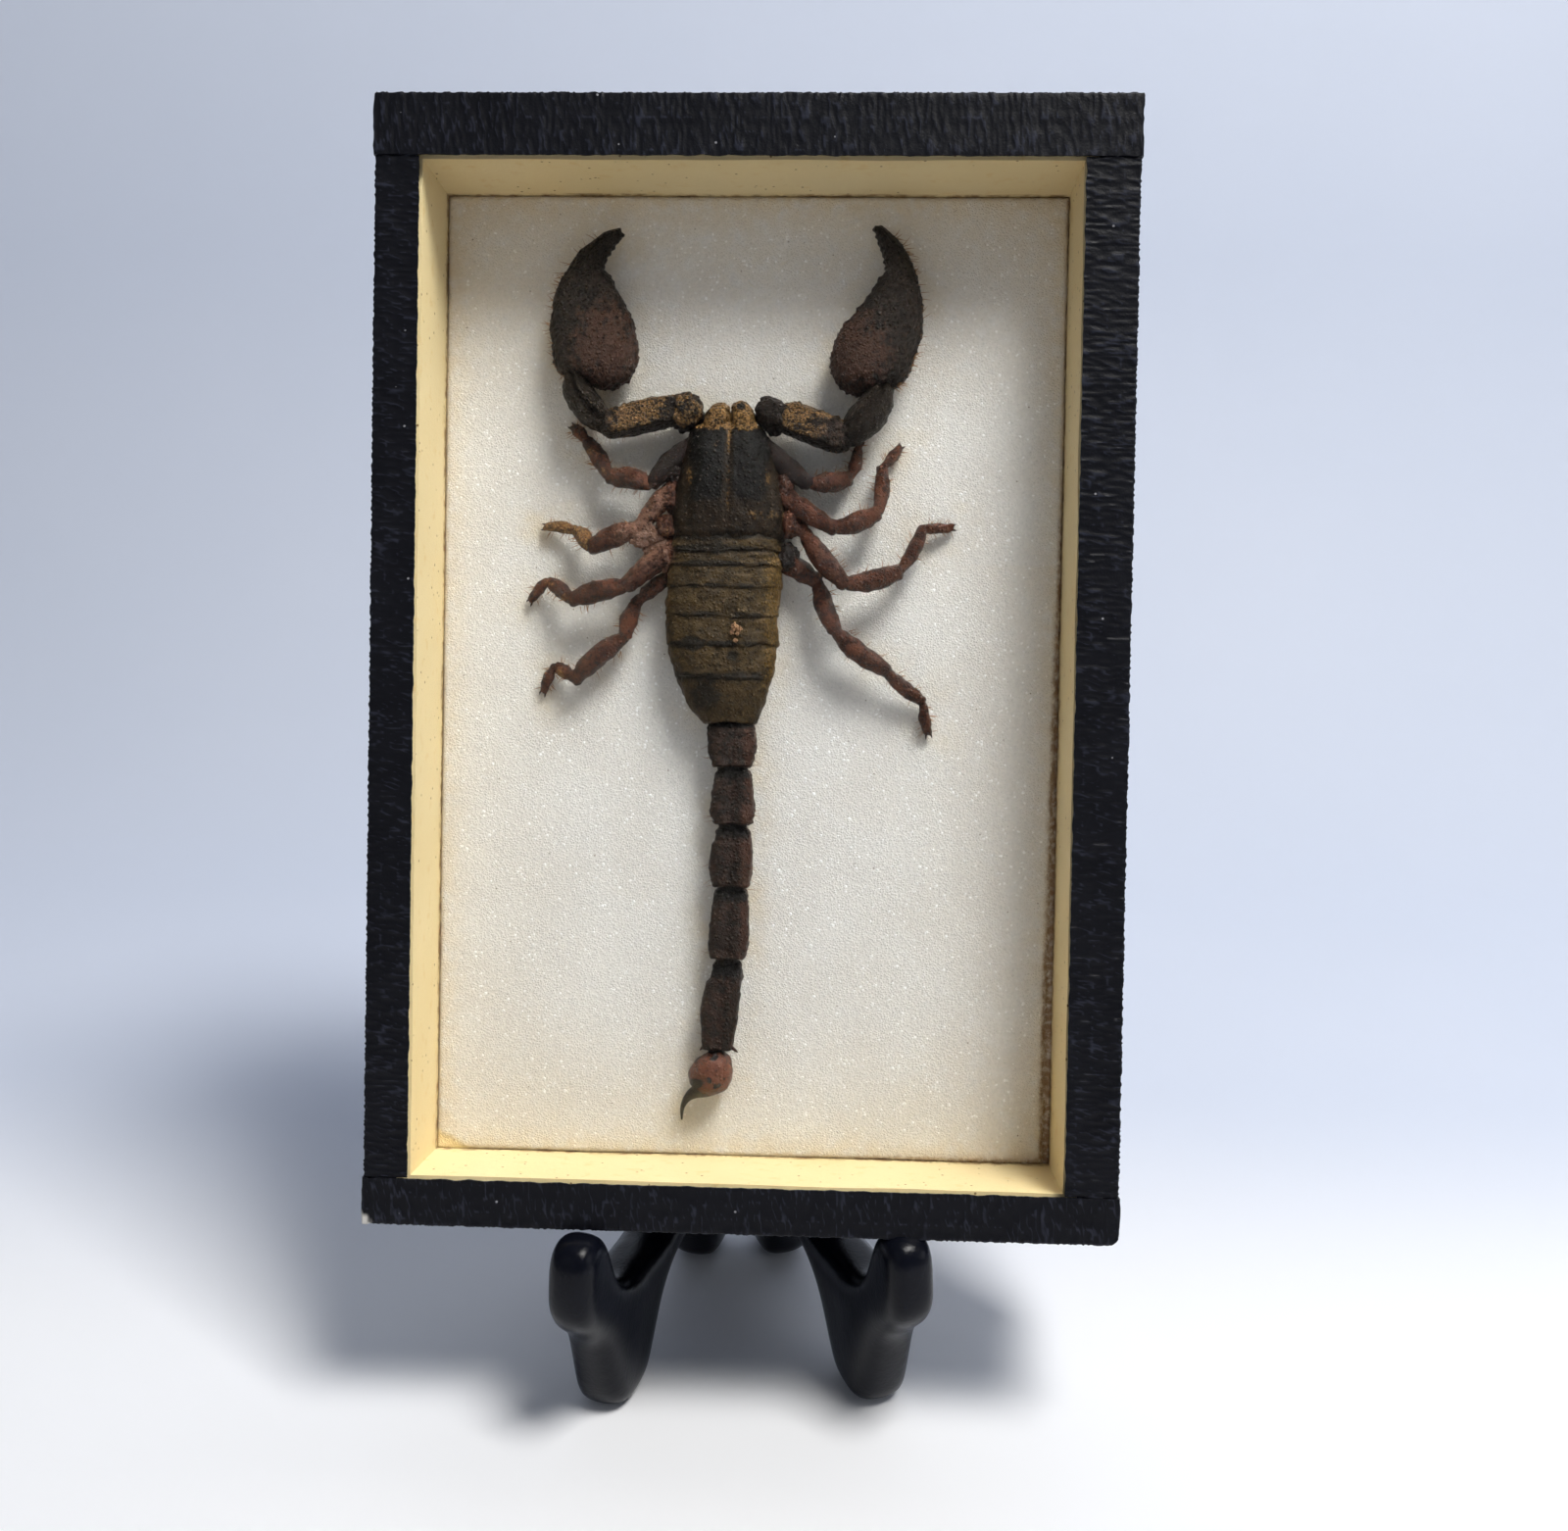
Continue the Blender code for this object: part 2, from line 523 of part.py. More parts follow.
# Claw arms: each section as two edge points with its low and high
ARMS = {
    "left": {
        "trochanter": (
            ((-10.1, 48.5), (-9.5, 44.6), 2.8, 7.0),
            ((-11.1, 49.3), (-10.9, 43.5), 2.2, 8.0),
            ((-12.9, 49.6), (-13.4, 42.9), 2.0, 8.6),
            ((-14.2, 48.9), (-14.6, 43.9), 2.8, 8.0),
        ),
        "femur": (
            ((-13.6, 48.0), (-14.4, 43.8), 3.0, 7.8),
            ((-15.2, 48.9), (-16.2, 43.4), 2.4, 8.6),
            ((-19.6, 48.3), (-20.8, 42.3), 2.3, 8.8),
            ((-24.2, 47.0), (-25.6, 41.5), 2.4, 8.6),
            ((-26.6, 46.0), (-27.4, 42.2), 3.1, 7.8),
        ),
        "patella": (
            ((-26.4, 46.6), (-27.0, 42.4), 3.2, 7.8),
            ((-27.6, 48.3), (-30.4, 43.6), 2.4, 8.8),
            ((-29.2, 50.4), (-33.2, 46.6), 2.2, 9.0),
            ((-30.2, 52.0), (-34.5, 49.8), 2.6, 8.6),
            ((-30.6, 53.0), (-34.2, 52.0), 3.4, 7.8),
        ),
        "chela": (
            ((-28.6, 50.9), (-24.8, 50.8), 3.2, 6.6),
            ((-32.4, 52.0), (-23.0, 52.0), 1.8, 8.6),
            ((-35.6, 53.2), (-22.0, 53.8), 1.3, 9.3),
            ((-36.5, 56.4), (-21.3, 56.6), 1.1, 9.6),
            ((-37.0, 61.1), (-22.0, 61.2), 1.1, 9.4),
            ((-36.6, 65.4), (-23.6, 65.0), 1.3, 8.8),
            ((-35.5, 69.0), (-25.8, 68.8), 1.6, 8.0),
            ((-34.3, 71.6), (-27.4, 71.2), 2.0, 7.2),
            ((-33.0, 73.6), (-27.5, 72.7), 2.2, 6.8),
            ((-31.1, 75.8), (-26.8, 74.3), 2.4, 6.4),
            ((-28.4, 77.8), (-25.8, 76.3), 2.7, 5.8),
            ((-26.4, 78.6), (-25.0, 77.3), 3.1, 5.3),
            ((-25.0, 78.7), (-24.5, 78.1), 3.6, 4.6),
        ),
    },
    "right": {
        "trochanter": (
            ((0.5, 44.6), (0.9, 48.4), 2.8, 7.0),
            ((1.6, 43.4), (1.7, 48.9), 2.2, 8.0),
            ((3.4, 42.3), (3.8, 48.6), 2.0, 8.6),
            ((4.7, 43.0), (5.2, 47.6), 2.8, 8.0),
        ),
        "femur": (
            ((4.4, 43.4), (5.0, 47.4), 3.0, 7.8),
            ((5.7, 42.4), (7.0, 47.9), 2.4, 8.6),
            ((9.4, 40.9), (11.0, 46.7), 2.3, 8.8),
            ((13.8, 39.4), (15.6, 44.8), 2.4, 8.6),
            ((16.4, 39.6), (17.4, 43.2), 3.1, 7.8),
        ),
        "patella": (
            ((15.8, 40.6), (15.6, 44.4), 3.4, 7.8),
            ((18.4, 40.8), (16.4, 46.2), 2.7, 8.8),
            ((22.6, 43.8), (17.8, 48.0), 2.6, 9.0),
            ((24.3, 47.4), (19.6, 50.2), 2.7, 8.6),
            ((24.4, 50.2), (21.0, 51.4), 3.4, 7.8),
        ),
        "chela": (
            ((17.0, 49.8), (20.8, 50.0), 3.2, 6.6),
            ((15.0, 51.2), (24.6, 51.2), 1.8, 8.6),
            ((13.9, 53.0), (26.6, 52.6), 1.3, 9.3),
            ((13.3, 56.2), (28.2, 56.2), 1.1, 9.6),
            ((14.9, 60.7), (29.3, 60.9), 1.1, 9.4),
            ((17.9, 64.6), (29.4, 65.2), 1.3, 8.8),
            ((20.6, 68.0), (28.8, 68.8), 1.6, 8.0),
            ((22.5, 71.0), (27.8, 72.0), 2.0, 7.2),
            ((22.8, 72.9), (27.0, 74.2), 2.2, 6.8),
            ((22.2, 75.2), (25.4, 76.6), 2.4, 6.4),
            ((21.5, 77.0), (23.6, 78.4), 2.7, 5.8),
            ((20.9, 78.4), (22.0, 79.4), 3.1, 5.3),
            ((20.5, 79.2), (20.9, 79.6), 3.6, 4.6),
        ),
    },
}
ARM_SIDES = {"trochanter": 10, "femur": 10, "patella": 10, "chela": 12}


def scorpion_arms(parent):
    mat = material("claw_brown", CLAW_BROWN)
    arms = []
    for side, segments in ARMS.items():
        pieces = []
        for segment, sections in segments.items():
            bm = loft([ring(*row) for row in sections], ARM_SIDES[segment])
            pieces.append(finish_piece(f"scorpion_arm_{side}_{segment}", bm, parent, mat, 50))
        arm = pieces.pop()
        arm.name = f"scorpion_arm_{side}"
        for piece in pieces:
            apply_boolean(arm, piece, "UNION")
        arms.append(arm)
    return arms


def swollen_copy(obj, distance):
    """A copy of a solid with its skin pushed out, used to trim its neighbours."""
    bm = bmesh.new()
    bm.from_mesh(obj.data)
    bm.normal_update()
    shifts = [vert.normal * distance for vert in bm.verts]
    for vert, shift in zip(bm.verts, shifts):
        vert.co += shift
    return finish_piece("clearance", bm, obj.parent, obj.data.materials[0])


def keep_largest_island(obj):
    """A limb that is cut by the body keeps its outer part only."""
    bm = bmesh.new()
    bm.from_mesh(obj.data)
    islands = []
    waiting = set(bm.verts)
    while waiting:
        stack = [waiting.pop()]
        island = set(stack)
        while stack:
            for edge in stack.pop().link_edges:
                for vert in edge.verts:
                    if vert in waiting:
                        waiting.remove(vert)
                        island.add(vert)
                        stack.append(vert)
        islands.append(island)
    keep = max(islands, key=len)
    bmesh.ops.delete(bm, geom=[v for v in bm.verts if v not in keep], context="VERTS")
    bm.to_mesh(obj.data)
    bm.free()


def build_scorpion(bed):
    body = scorpion_body(bed)
    for limb in scorpion_legs(bed) + scorpion_arms(bed):
        apply_boolean(limb, swollen_copy(body, TRIM_GAP), "DIFFERENCE")
        keep_largest_island(limb)


# Easel

def rounded_outline(corners, step_deg=24.0):
    """Fillet each corner (a, b, radius) of a closed outline with an arc."""
    points = []
    count = len(corners)
    for index, (a, b, radius) in enumerate(corners):
        here = Vector((a, b))
        before = (Vector(corners[index - 1][:2]) - here).normalized()
        after = (Vector(corners[(index + 1) % count][:2]) - here).normalized()
        opening = before.angle(after)
        reach = radius / math.tan(opening / 2)
        centre = here + (before + after).normalized() * radius / math.sin(opening / 2)
        start = here + before * reach - centre
        turn = start.angle_signed(here + after * reach - centre)
        steps = max(2, round(abs(math.degrees(turn)) / step_deg))
        for step in range(steps + 1):
            angle = -turn * step / steps
            cosine = math.cos(angle)
            sine = math.sin(angle)
            points.append(centre + Vector((start.x * cosine - start.y * sine,
                                           start.x * sine + start.y * cosine)))
    return [(p.x * MM, p.y * MM) for p in points]


def on_rear_edge(vert):
    return abs(vert.co.y + BOARD_REAR) < MM / 100


def easel_board(name, side, parent, mat):
    """One board in its own plane: inner face near x = 0, hooks towards -Y."""
    outline = rounded_outline(BOARD_CORNERS)
    inner = side * GAP
    outer = side * (GAP + BOARD_THICKNESS)
    bm = prism_mesh(outline, inner, outer, lambda ahead, z, x: (x, -ahead, z))
    faces = [f for f in bm.faces if len(f.verts) == len(outline)]
    rim = [e for f in faces for e in f.edges if not all(on_rear_edge(v) for v in e.verts)]
    bmesh.ops.bevel(bm, geom=rim, offset=BOARD_EDGE_RADIUS, segments=3, profile=0.5,
                    affect="EDGES", clamp_overlap=True)
    return finish_piece(name, bm, parent, mat, smooth_angle=35)


def cylinder_mesh(radius, low, high, sides):
    bm = bmesh.new()
    bmesh.ops.create_cone(bm, cap_ends=True, segments=sides, radius1=radius, radius2=radius,
                          depth=high - low, matrix=Matrix.Translation((0, 0, (low + high) / 2)))
    return bm


def hinge_leaf(name, side, spans, height, parent, mat):
    """A leaf on the rear edge of its board, with its knuckles round the pin."""
    plate_near = side * BOARD_REAR
    plate_far = side * LEAF_REACH
    front = -(BOARD_REAR - GAP)
    back = front + LEAF_THICKNESS
    low = (min(plate_near, plate_far), front, height)
    high = (max(plate_near, plate_far), back, height + HINGE_LENGTH)
    leaf = finish_piece(name, box_mesh(low, high), parent, mat, smooth_angle=35)
    for start, end in spans:
        tongue_low = (min(0.0, plate_near + side * GAP), front, height + start)
        tongue_high = (max(0.0, plate_near + side * GAP), back, height + end)
        tongue = finish_piece("tongue", box_mesh(tongue_low, tongue_high), parent, mat)
        apply_boolean(leaf, tongue, "UNION")
        bm = cylinder_mesh(KNUCKLE_RADIUS, height + start, height + end, KNUCKLE_SIDES)
        apply_boolean(leaf, finish_piece("knuckle", bm, parent, mat), "UNION")
    bm = cylinder_mesh(HINGE_PIN_RADIUS + GAP, height - MM, height + HINGE_LENGTH + MM, PIN_SIDES)
    apply_boolean(leaf, finish_piece("bore", bm, parent, mat), "DIFFERENCE")
    return leaf


def build_hinge(level, left_axis, right_axis):
    mat = material("hinge_brass", HINGE_BRASS)
    height = HINGE_HEIGHTS[level]
    third = HINGE_LENGTH / 3
    outer = [(0.0, third - GAP / 2), (2 * third + GAP / 2, HINGE_LENGTH)]
    middle = [(third + GAP / 2, 2 * third - GAP / 2)]
    hinge_leaf(f"hinge_{level}_leaf_left", -1, outer, height, left_axis, mat)
    hinge_leaf(f"hinge_{level}_leaf_right", 1, middle, height, right_axis, mat)
    bm = cylinder_mesh(HINGE_PIN_RADIUS, height - GAP, height + HINGE_LENGTH + GAP, PIN_SIDES)
    finish_piece(f"hinge_{level}_pin", bm, left_axis, mat, smooth_angle=35)


def build_easel(easel):
    mat = material("black_paint", BLACK_PAINT)
    half_angle = math.radians(BOARD_HALF_ANGLE_DEG)
    left_axis = empty("left_half", easel, rotation=(0, 0, -half_angle))
    right_axis = empty("right_half", easel, rotation=(0, 0, half_angle))
    easel_board("easel_half_left", -1, left_axis, mat)
    easel_board("easel_half_right", 1, right_axis, mat)
    for level in HINGE_HEIGHTS:
        build_hinge(level, left_axis, right_axis)


def stand_on_origin(root):
    """Move the whole object so that its bounding box stands centred on the origin."""
    bpy.context.view_layer.update()
    corners = [obj.matrix_world @ vert.co for obj in bpy.data.objects if obj.type == "MESH"
               for vert in obj.data.vertices]
    middle_x = (min(c.x for c in corners) + max(c.x for c in corners)) / 2
    middle_y = (min(c.y for c in corners) + max(c.y for c in corners)) / 2
    root.location = (-middle_x, -middle_y, -min(c.z for c in corners))
    bpy.context.view_layer.update()


def build():
    clear_scene()
    root = empty("display")
    case = empty("case", root, (0, 0, HOOK_HEIGHT), (-math.radians(LEAN_DEG), 0, 0))
    bed = empty("bed", case, (0, FOAM_DEPTH, CASE_HEIGHT / 2))
    easel = empty("easel", root, (HINGE_X, HINGE_Y, 0), (0, 0, math.radians(EASEL_TURN_DEG)))
    build_case(case)
    build_scorpion(bed)
    build_easel(easel)
    stand_on_origin(root)


build()
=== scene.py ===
# %% [markdown]
# # A framed scorpion on a folding easel
# The object is a dried scorpion on a foam bed, in a shallow glazed case bound with black
# crepe paper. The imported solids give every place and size. This lesson dresses them: each
# visible surface gets a fine mesh where its shape needs one, and a material made of nodes.

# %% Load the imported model
import json
import math
import random

import bmesh
import bpy
import numpy as np
from mathutils import Matrix, Vector, noise
from mathutils.kdtree import KDTree


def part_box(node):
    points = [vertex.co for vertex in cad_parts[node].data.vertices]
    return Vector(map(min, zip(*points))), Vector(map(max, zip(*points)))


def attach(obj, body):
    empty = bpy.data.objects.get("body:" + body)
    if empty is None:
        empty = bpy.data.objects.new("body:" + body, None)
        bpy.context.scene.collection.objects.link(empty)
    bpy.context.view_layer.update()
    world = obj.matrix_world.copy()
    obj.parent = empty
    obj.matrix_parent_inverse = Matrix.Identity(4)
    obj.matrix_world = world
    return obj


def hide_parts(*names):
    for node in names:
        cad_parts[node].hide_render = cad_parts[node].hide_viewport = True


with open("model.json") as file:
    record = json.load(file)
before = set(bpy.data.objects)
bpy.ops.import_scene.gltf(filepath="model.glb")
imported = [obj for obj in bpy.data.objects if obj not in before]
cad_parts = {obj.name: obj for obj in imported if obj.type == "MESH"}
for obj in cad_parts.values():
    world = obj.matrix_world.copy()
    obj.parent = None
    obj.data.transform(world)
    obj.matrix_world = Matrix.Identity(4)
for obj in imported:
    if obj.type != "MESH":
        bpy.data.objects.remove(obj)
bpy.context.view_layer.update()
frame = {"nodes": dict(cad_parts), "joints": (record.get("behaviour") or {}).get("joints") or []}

MM = 0.001
NODES = frame["nodes"]

# %% [markdown]
# ## Two frames to work in
# The case leans back. Its parts are easier to build upright and then tilt, so one matrix
# stands for the tilt and a second one for the foam inside it. The pane is a plain slab,
# so its box tells where the leaning case stands.

# %% The case's frame and the foam's frame
LEAN = math.radians(15)
CASE_WIDTH = 130.0
CASE_HEIGHT = 194.0
CASE_DEPTH = 30.0
PANE_FRONT = 0.8
PANE_BACK = 2.6
FOAM_DEPTH = 19.6

pane_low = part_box("glass_pane")[0]
sine, cosine = math.sin(LEAN), math.cos(LEAN)
case_y = pane_low.y / MM - PANE_FRONT * (cosine + sine)
case_z = pane_low.z / MM + PANE_BACK * sine - PANE_FRONT * cosine
CASE = Matrix.Scale(MM, 4) @ Matrix.Translation((0, case_y, case_z)) @ Matrix.Rotation(-LEAN, 4, "X")
BED = CASE @ Matrix.Translation((0, FOAM_DEPTH, CASE_HEIGHT / 2))
print("front lower edge of the case, in mm:", round(case_y, 2), round(case_z, 2))

# %% [markdown]
# ## Camera, light and floor
# The camera was solved from the corners of the case. It stands a little right of the
# middle and looks almost squarely at the glass, so it is placed in the case's frame.
# One large soft lamp hangs above, as a window or a light tent would, and two weak ones
# fill the shadows from the front and from the right.

# %% Camera
CAMERA_POINT = Vector((16.7, -11.0, 256.3))     # right of, above and out from the front's middle, mm
CAMERA_TURN = Vector((1.19, -2.23, -1.01))      # small turns off the square view, degrees
FOCAL_LENGTH = 34.65

turn = Matrix.Rotation(-math.radians(CAMERA_TURN.length), 4, CAMERA_TURN.normalized())
front_middle = CASE @ Matrix.Translation((0, 0, CASE_HEIGHT / 2)) @ Matrix.Rotation(math.pi / 2, 4, "X")
lens = bpy.data.cameras.new("camera")
lens.lens = FOCAL_LENGTH
lens.sensor_width = 36.0
lens.clip_start = 0.01
camera = bpy.data.objects.new("camera", lens)
bpy.context.collection.objects.link(camera)
camera.location = (front_middle @ Matrix.Translation(CAMERA_POINT)).translation
camera.rotation_euler = (front_middle @ turn).to_3x3().normalized().to_euler()
bpy.context.scene.camera = camera
print("camera at", [round(v, 4) for v in camera.location])

# %% Lamps and sky
def soft_lamp(name, place, target, width, power, tint):
    """A square area lamp that faces its target."""
    lamp = bpy.data.lights.new(name, "AREA")
    lamp.size = width
    lamp.energy = power
    lamp.color = tint
    holder = bpy.data.objects.new(name, lamp)
    bpy.context.collection.objects.link(holder)
    holder.location = place
    holder.rotation_euler = (Vector(place) - Vector(target)).to_track_quat("Z", "Y").to_euler()
    return holder


CASE_MIDDLE = (0.0, 0.0, 0.13)
soft_lamp("overhead", (0.37, -0.29, 1.09), CASE_MIDDLE, 0.36, 11.5, (1.0, 0.98, 0.95))
soft_lamp("front_fill", (-0.75, -0.95, 0.75), CASE_MIDDLE, 0.9, 0.5, (0.90, 0.94, 1.0))
soft_lamp("side_fill", (0.80, -0.22, 0.34), (0.05, 0.03, 0.0), 0.35, 0.55, (0.95, 0.97, 1.0))

sky = bpy.data.worlds.new("sky")
sky.use_nodes = True
sky.node_tree.nodes["Background"].inputs["Color"].default_value = (0.80, 0.86, 1.0, 1.0)
sky.node_tree.nodes["Background"].inputs["Strength"].default_value = 0.13
bpy.context.scene.world = sky
bpy.context.scene.view_settings.view_transform = "Standard"

# %% [markdown]
# ## Materials as short recipes
# A material here is a Principled shader with a few nodes in front of it. A small class
# keeps each recipe readable: it adds a node, feeds its sockets and hands back an output.
# Patterns use Object coordinates, turned into the foam's frame and counted in millimetres.

# %% The recipe helper
class Recipe:
    """One material, built by short calls."""

    def __init__(self, name, **sockets):
        self.material = bpy.data.materials.new(name)
        self.material.use_nodes = True
        self.tree = self.material.node_tree
        self.shader = self.tree.nodes["Principled BSDF"]
        for key, value in sockets.items():
            self.set(key, value)

    def set(self, key, value):
        self.feed(self.shader.inputs[key.replace("_", " ")], value)

    def feed(self, socket, value):
        if isinstance(value, bpy.types.NodeSocket):
            self.tree.links.new(value, socket)
        elif socket.type == "RGBA":
            socket.default_value = (*value, 1.0)
        else:
            socket.default_value = value

    def node(self, kind, sockets=(), **settings):
        made = self.tree.nodes.new("ShaderNode" + kind)
        for key, value in settings.items():
            setattr(made, key, value)
        for key, value in dict(sockets).items():
            self.feed(made.inputs[key], value)
        return made

    def spot(self, stretch=(1, 1, 1)):
        """Object coordinates in the foam's frame; stretch above 1 draws a pattern out."""
        source = self.node("TexCoord").outputs["Object"]
        place = self.node("Mapping", {"Vector": source}, vector_type="TEXTURE")
        place.inputs["Location"].default_value = BED.translation
        place.inputs["Rotation"].default_value = BED.to_3x3().normalized().to_euler()
        place.inputs["Scale"].default_value = [MM * s for s in stretch]
        return place.outputs["Vector"]

    def noise(self, vector, scale, detail=3.0, rough=0.55):
        sockets = {"Vector": vector, "Scale": scale, "Detail": detail, "Roughness": rough}
        return self.node("TexNoise", sockets).outputs["Fac"]

    def cells(self, vector, scale, output="Distance"):
        sockets = {"Vector": vector, "Scale": scale, "Randomness": 1.0}
        return self.node("TexVoronoi", sockets).outputs[output]

    def axis(self, vector, name):
        return self.node("SeparateXYZ", {"Vector": vector}).outputs[name]

    def fade(self, value, start, end):
        """0 at start and 1 at end, smoothly; start may be the larger one."""
        sockets = {"Value": value, "From Min": start, "From Max": end}
        return self.node("MapRange", sockets, interpolation_type="SMOOTHSTEP").outputs["Result"]

    def sum(self, operation, first, second):
        made = self.node("Math", operation=operation)
        self.feed(made.inputs[0], first)
        self.feed(made.inputs[1], second)
        return made.outputs["Value"]

    def times(self, first, second):
        return self.sum("MULTIPLY", first, second)

    def ramp(self, value, low, high, start=0.0, end=1.0, clamp=True):
        """Goes from low to high while the value goes from start to end."""
        sockets = {"Value": value, "From Min": start, "From Max": end, "To Min": low, "To Max": high}
        return self.node("MapRange", sockets, clamp=clamp).outputs["Result"]

    def mix(self, factor, first, second):
        made = self.node("Mix", data_type="RGBA", blend_type="MIX")
        self.feed(made.inputs[0], factor)
        self.feed(made.inputs[6], first)
        self.feed(made.inputs[7], second)
        return made.outputs[2]

    def painted(self, name):
        """A value that the mesh carries on its points."""
        return self.node("Attribute", attribute_name=name).outputs["Fac"]

    def bump(self, height, distance):
        sockets = {"Height": height, "Distance": distance * MM, "Strength": 1.0}
        self.set("Normal", self.node("Bump", sockets).outputs["Normal"])


# %% Helpers for meshes
def finish(name, bm, material, body="display", stands_for=(), matrix=None, sharp=None):
    """Turn a bmesh into a piece that rides on a body, with its place in its mesh."""
    if matrix is not None:
        bm.transform(matrix)
    mesh = bpy.data.meshes.new(name)
    bm.to_mesh(mesh)
    bm.free()
    mesh.materials.append(material)
    mesh.shade_smooth()
    if sharp is not None:
        mesh.set_sharp_from_angle(angle=math.radians(sharp))
    piece = bpy.data.objects.new(name, mesh)
    bpy.context.collection.objects.link(piece)
    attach(piece, body)
    if stands_for:
        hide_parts(*stands_for)
    print(f"{name}: {len(mesh.polygons)} faces")
    return piece


def dress(node, material):
    """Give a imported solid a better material."""
    solid = NODES[node]
    solid.data.materials.clear()
    solid.data.materials.append(material)


def box_shell(low, high):
    bm = bmesh.new()
    bmesh.ops.create_cube(bm, size=1.0)
    low, high = Vector(low), Vector(high)
    bmesh.ops.scale(bm, vec=high - low, verts=bm.verts)
    bmesh.ops.translate(bm, vec=(low + high) / 2, verts=bm.verts)
    return bm


def verts_in(geometry):
    return [item for item in geometry if isinstance(item, bmesh.types.BMVert)]


def extrude_ring(bm, edges):
    """Extrude a ring of edges; gives the points and the edges of the new ring."""
    made = bmesh.ops.extrude_edge_only(bm, edges=edges)["geom"]
    return verts_in(made), [item for item in made if isinstance(item, bmesh.types.BMEdge)]


def slab(corners, shift):
    """A flat face with these corners, extruded by a shift."""
    bm = bmesh.new()
    face = bm.faces.new([bm.verts.new(corner) for corner in corners])
    moved = bmesh.ops.extrude_face_region(bm, geom=[face])["geom"]
    bmesh.ops.translate(bm, vec=shift, verts=verts_in(moved))
    return bm


def join(parts):
    """Several closed shells as one mesh."""
    whole = bmesh.new()
    for part in parts:
        mesh = bpy.data.meshes.new("part")
        part.to_mesh(mesh)
        part.free()
        whole.from_mesh(mesh)
        bpy.data.meshes.remove(mesh)
    return whole


def smoothstep(start, end, value):
    part = min(1.0, max(0.0, (value - start) / (end - start)))
    return part * part * (3 - 2 * part)


# %% [markdown]
# ## The floor
# A pale sweep: flat where the easel stands and curved up far behind it, so that no edge
# shows. An extruded profile and a wide bevel make it.

# %% Floor
FLOOR_SIZE = 1.6
SWEEP_BACK = 0.45
SWEEP_HEIGHT = 1.3
SWEEP_BEND = 0.22       # how far from the fold the bend begins

bm = bmesh.new()
row = [bm.verts.new((-FLOOR_SIZE, y, z))
       for y, z in ((-FLOOR_SIZE, 0), (SWEEP_BACK, 0), (SWEEP_BACK, SWEEP_HEIGHT))]
edges = [bm.edges.new(pair) for pair in zip(row, row[1:])]
wall = bmesh.ops.extrude_edge_only(bm, edges=edges)["geom"]
bmesh.ops.translate(bm, vec=(2 * FLOOR_SIZE, 0, 0), verts=verts_in(wall))
fold = [e for e in bm.edges if len(e.link_faces) == 2]
bmesh.ops.bevel(bm, geom=fold, offset=SWEEP_BEND, segments=16, profile=0.5, affect="EDGES", material=-1)
mesh = bpy.data.meshes.new("floor")
bm.to_mesh(mesh)
bm.free()
mesh.shade_smooth()
floor = bpy.data.objects.new("floor", mesh)
bpy.context.collection.objects.link(floor)
paper = Recipe("floor_paper", Roughness=0.75)
place = paper.node("TexCoord").outputs["Object"]
wall_tone = paper.mix(paper.noise(place, 6.0), (0.66, 0.72, 0.84), (0.71, 0.76, 0.87))
in_front = paper.fade(paper.axis(place, "Y"), 0.10, -0.02)
paper.set("Base Color", paper.mix(in_front, wall_tone, (0.97, 0.98, 1.0)))
mesh.materials.append(paper.material)

# %% [markdown]
# ## The black crepe tape
# Four strips of stretched black paper bind the case. Each one folds round an edge: a band
# on the glass, the side, and a band on the back; the top and bottom strips also close over
# the ends. Crepe paper has irregular ribs across the strip. A box without its open faces is
# cut finely along its length, its points are lifted in a rib pattern, and Solidify gives the
# sheet its thickness, so the ribs are real relief.

# %% Crepe relief
RIB_PITCH = 1.0
RIB_HEIGHT = 0.12
SIDE_RIB_HEIGHT = 0.15  # the ribs of the side strips stand a little higher
BROAD_PITCH = 7.0       # spacing of the broad waves under the ribs
CREST = 3.8             # the higher, the narrower a rib's crest
RIB_CUT = 0.30          # spacing of the cuts along a strip
RIB_RUN = 2.6           # how far one rib goes on across the strip


def crepe(point, along, seed):
    """Height of the crepe at a point, for ribs that follow each other along an axis."""
    stretched = Vector((point[(along + 1) % 3], point[(along + 2) % 3], 0)) / RIB_RUN
    wave = noise.noise(Vector((point[along] / RIB_PITCH, stretched.x + seed, stretched.y)))
    broad = noise.noise(Vector((point[along] / BROAD_PITCH, stretched.x + 7 + seed, stretched.y)))
    crest = 1 - min(1.0, CREST * abs(wave))
    return RIB_HEIGHT * (1.5 * crest - 0.75 + 0.35 * broad)


# %% Black paper
def black_paper():
    """Dull blue-black in broad worn patches, with a painted highlight on the rib tops and a few pale specks.
    """
    recipe = Recipe("black_crepe_paper", Specular_IOR_Level=0.15)
    at = recipe.spot()
    worn = recipe.noise(at, 0.10, 4.0)
    colour = recipe.mix(worn, (0.0026, 0.0028, 0.0044), (0.0068, 0.0074, 0.0112))
    # painted highlight: the rib tops are paler, standing for glints on the crests
    crest_highlight = recipe.painted("rib")
    colour = recipe.mix(recipe.fade(crest_highlight, 0.52, 0.95), colour, (0.0240, 0.0265, 0.0400))
    specks = recipe.fade(recipe.cells(at, 0.22), 0.055, 0.035)
    colour = recipe.mix(specks, colour, (0.26, 0.26, 0.28))
    colour = recipe.mix(recipe.painted("torn"), colour, (0.62, 0.60, 0.56))
    recipe.set("Base Color", colour)
    recipe.set("Roughness", recipe.ramp(worn, 0.34, 0.56))
    recipe.bump(recipe.noise(at, 2.6, 5.0), 0.06)
    return recipe.material


BLACK_PAPER = black_paper()

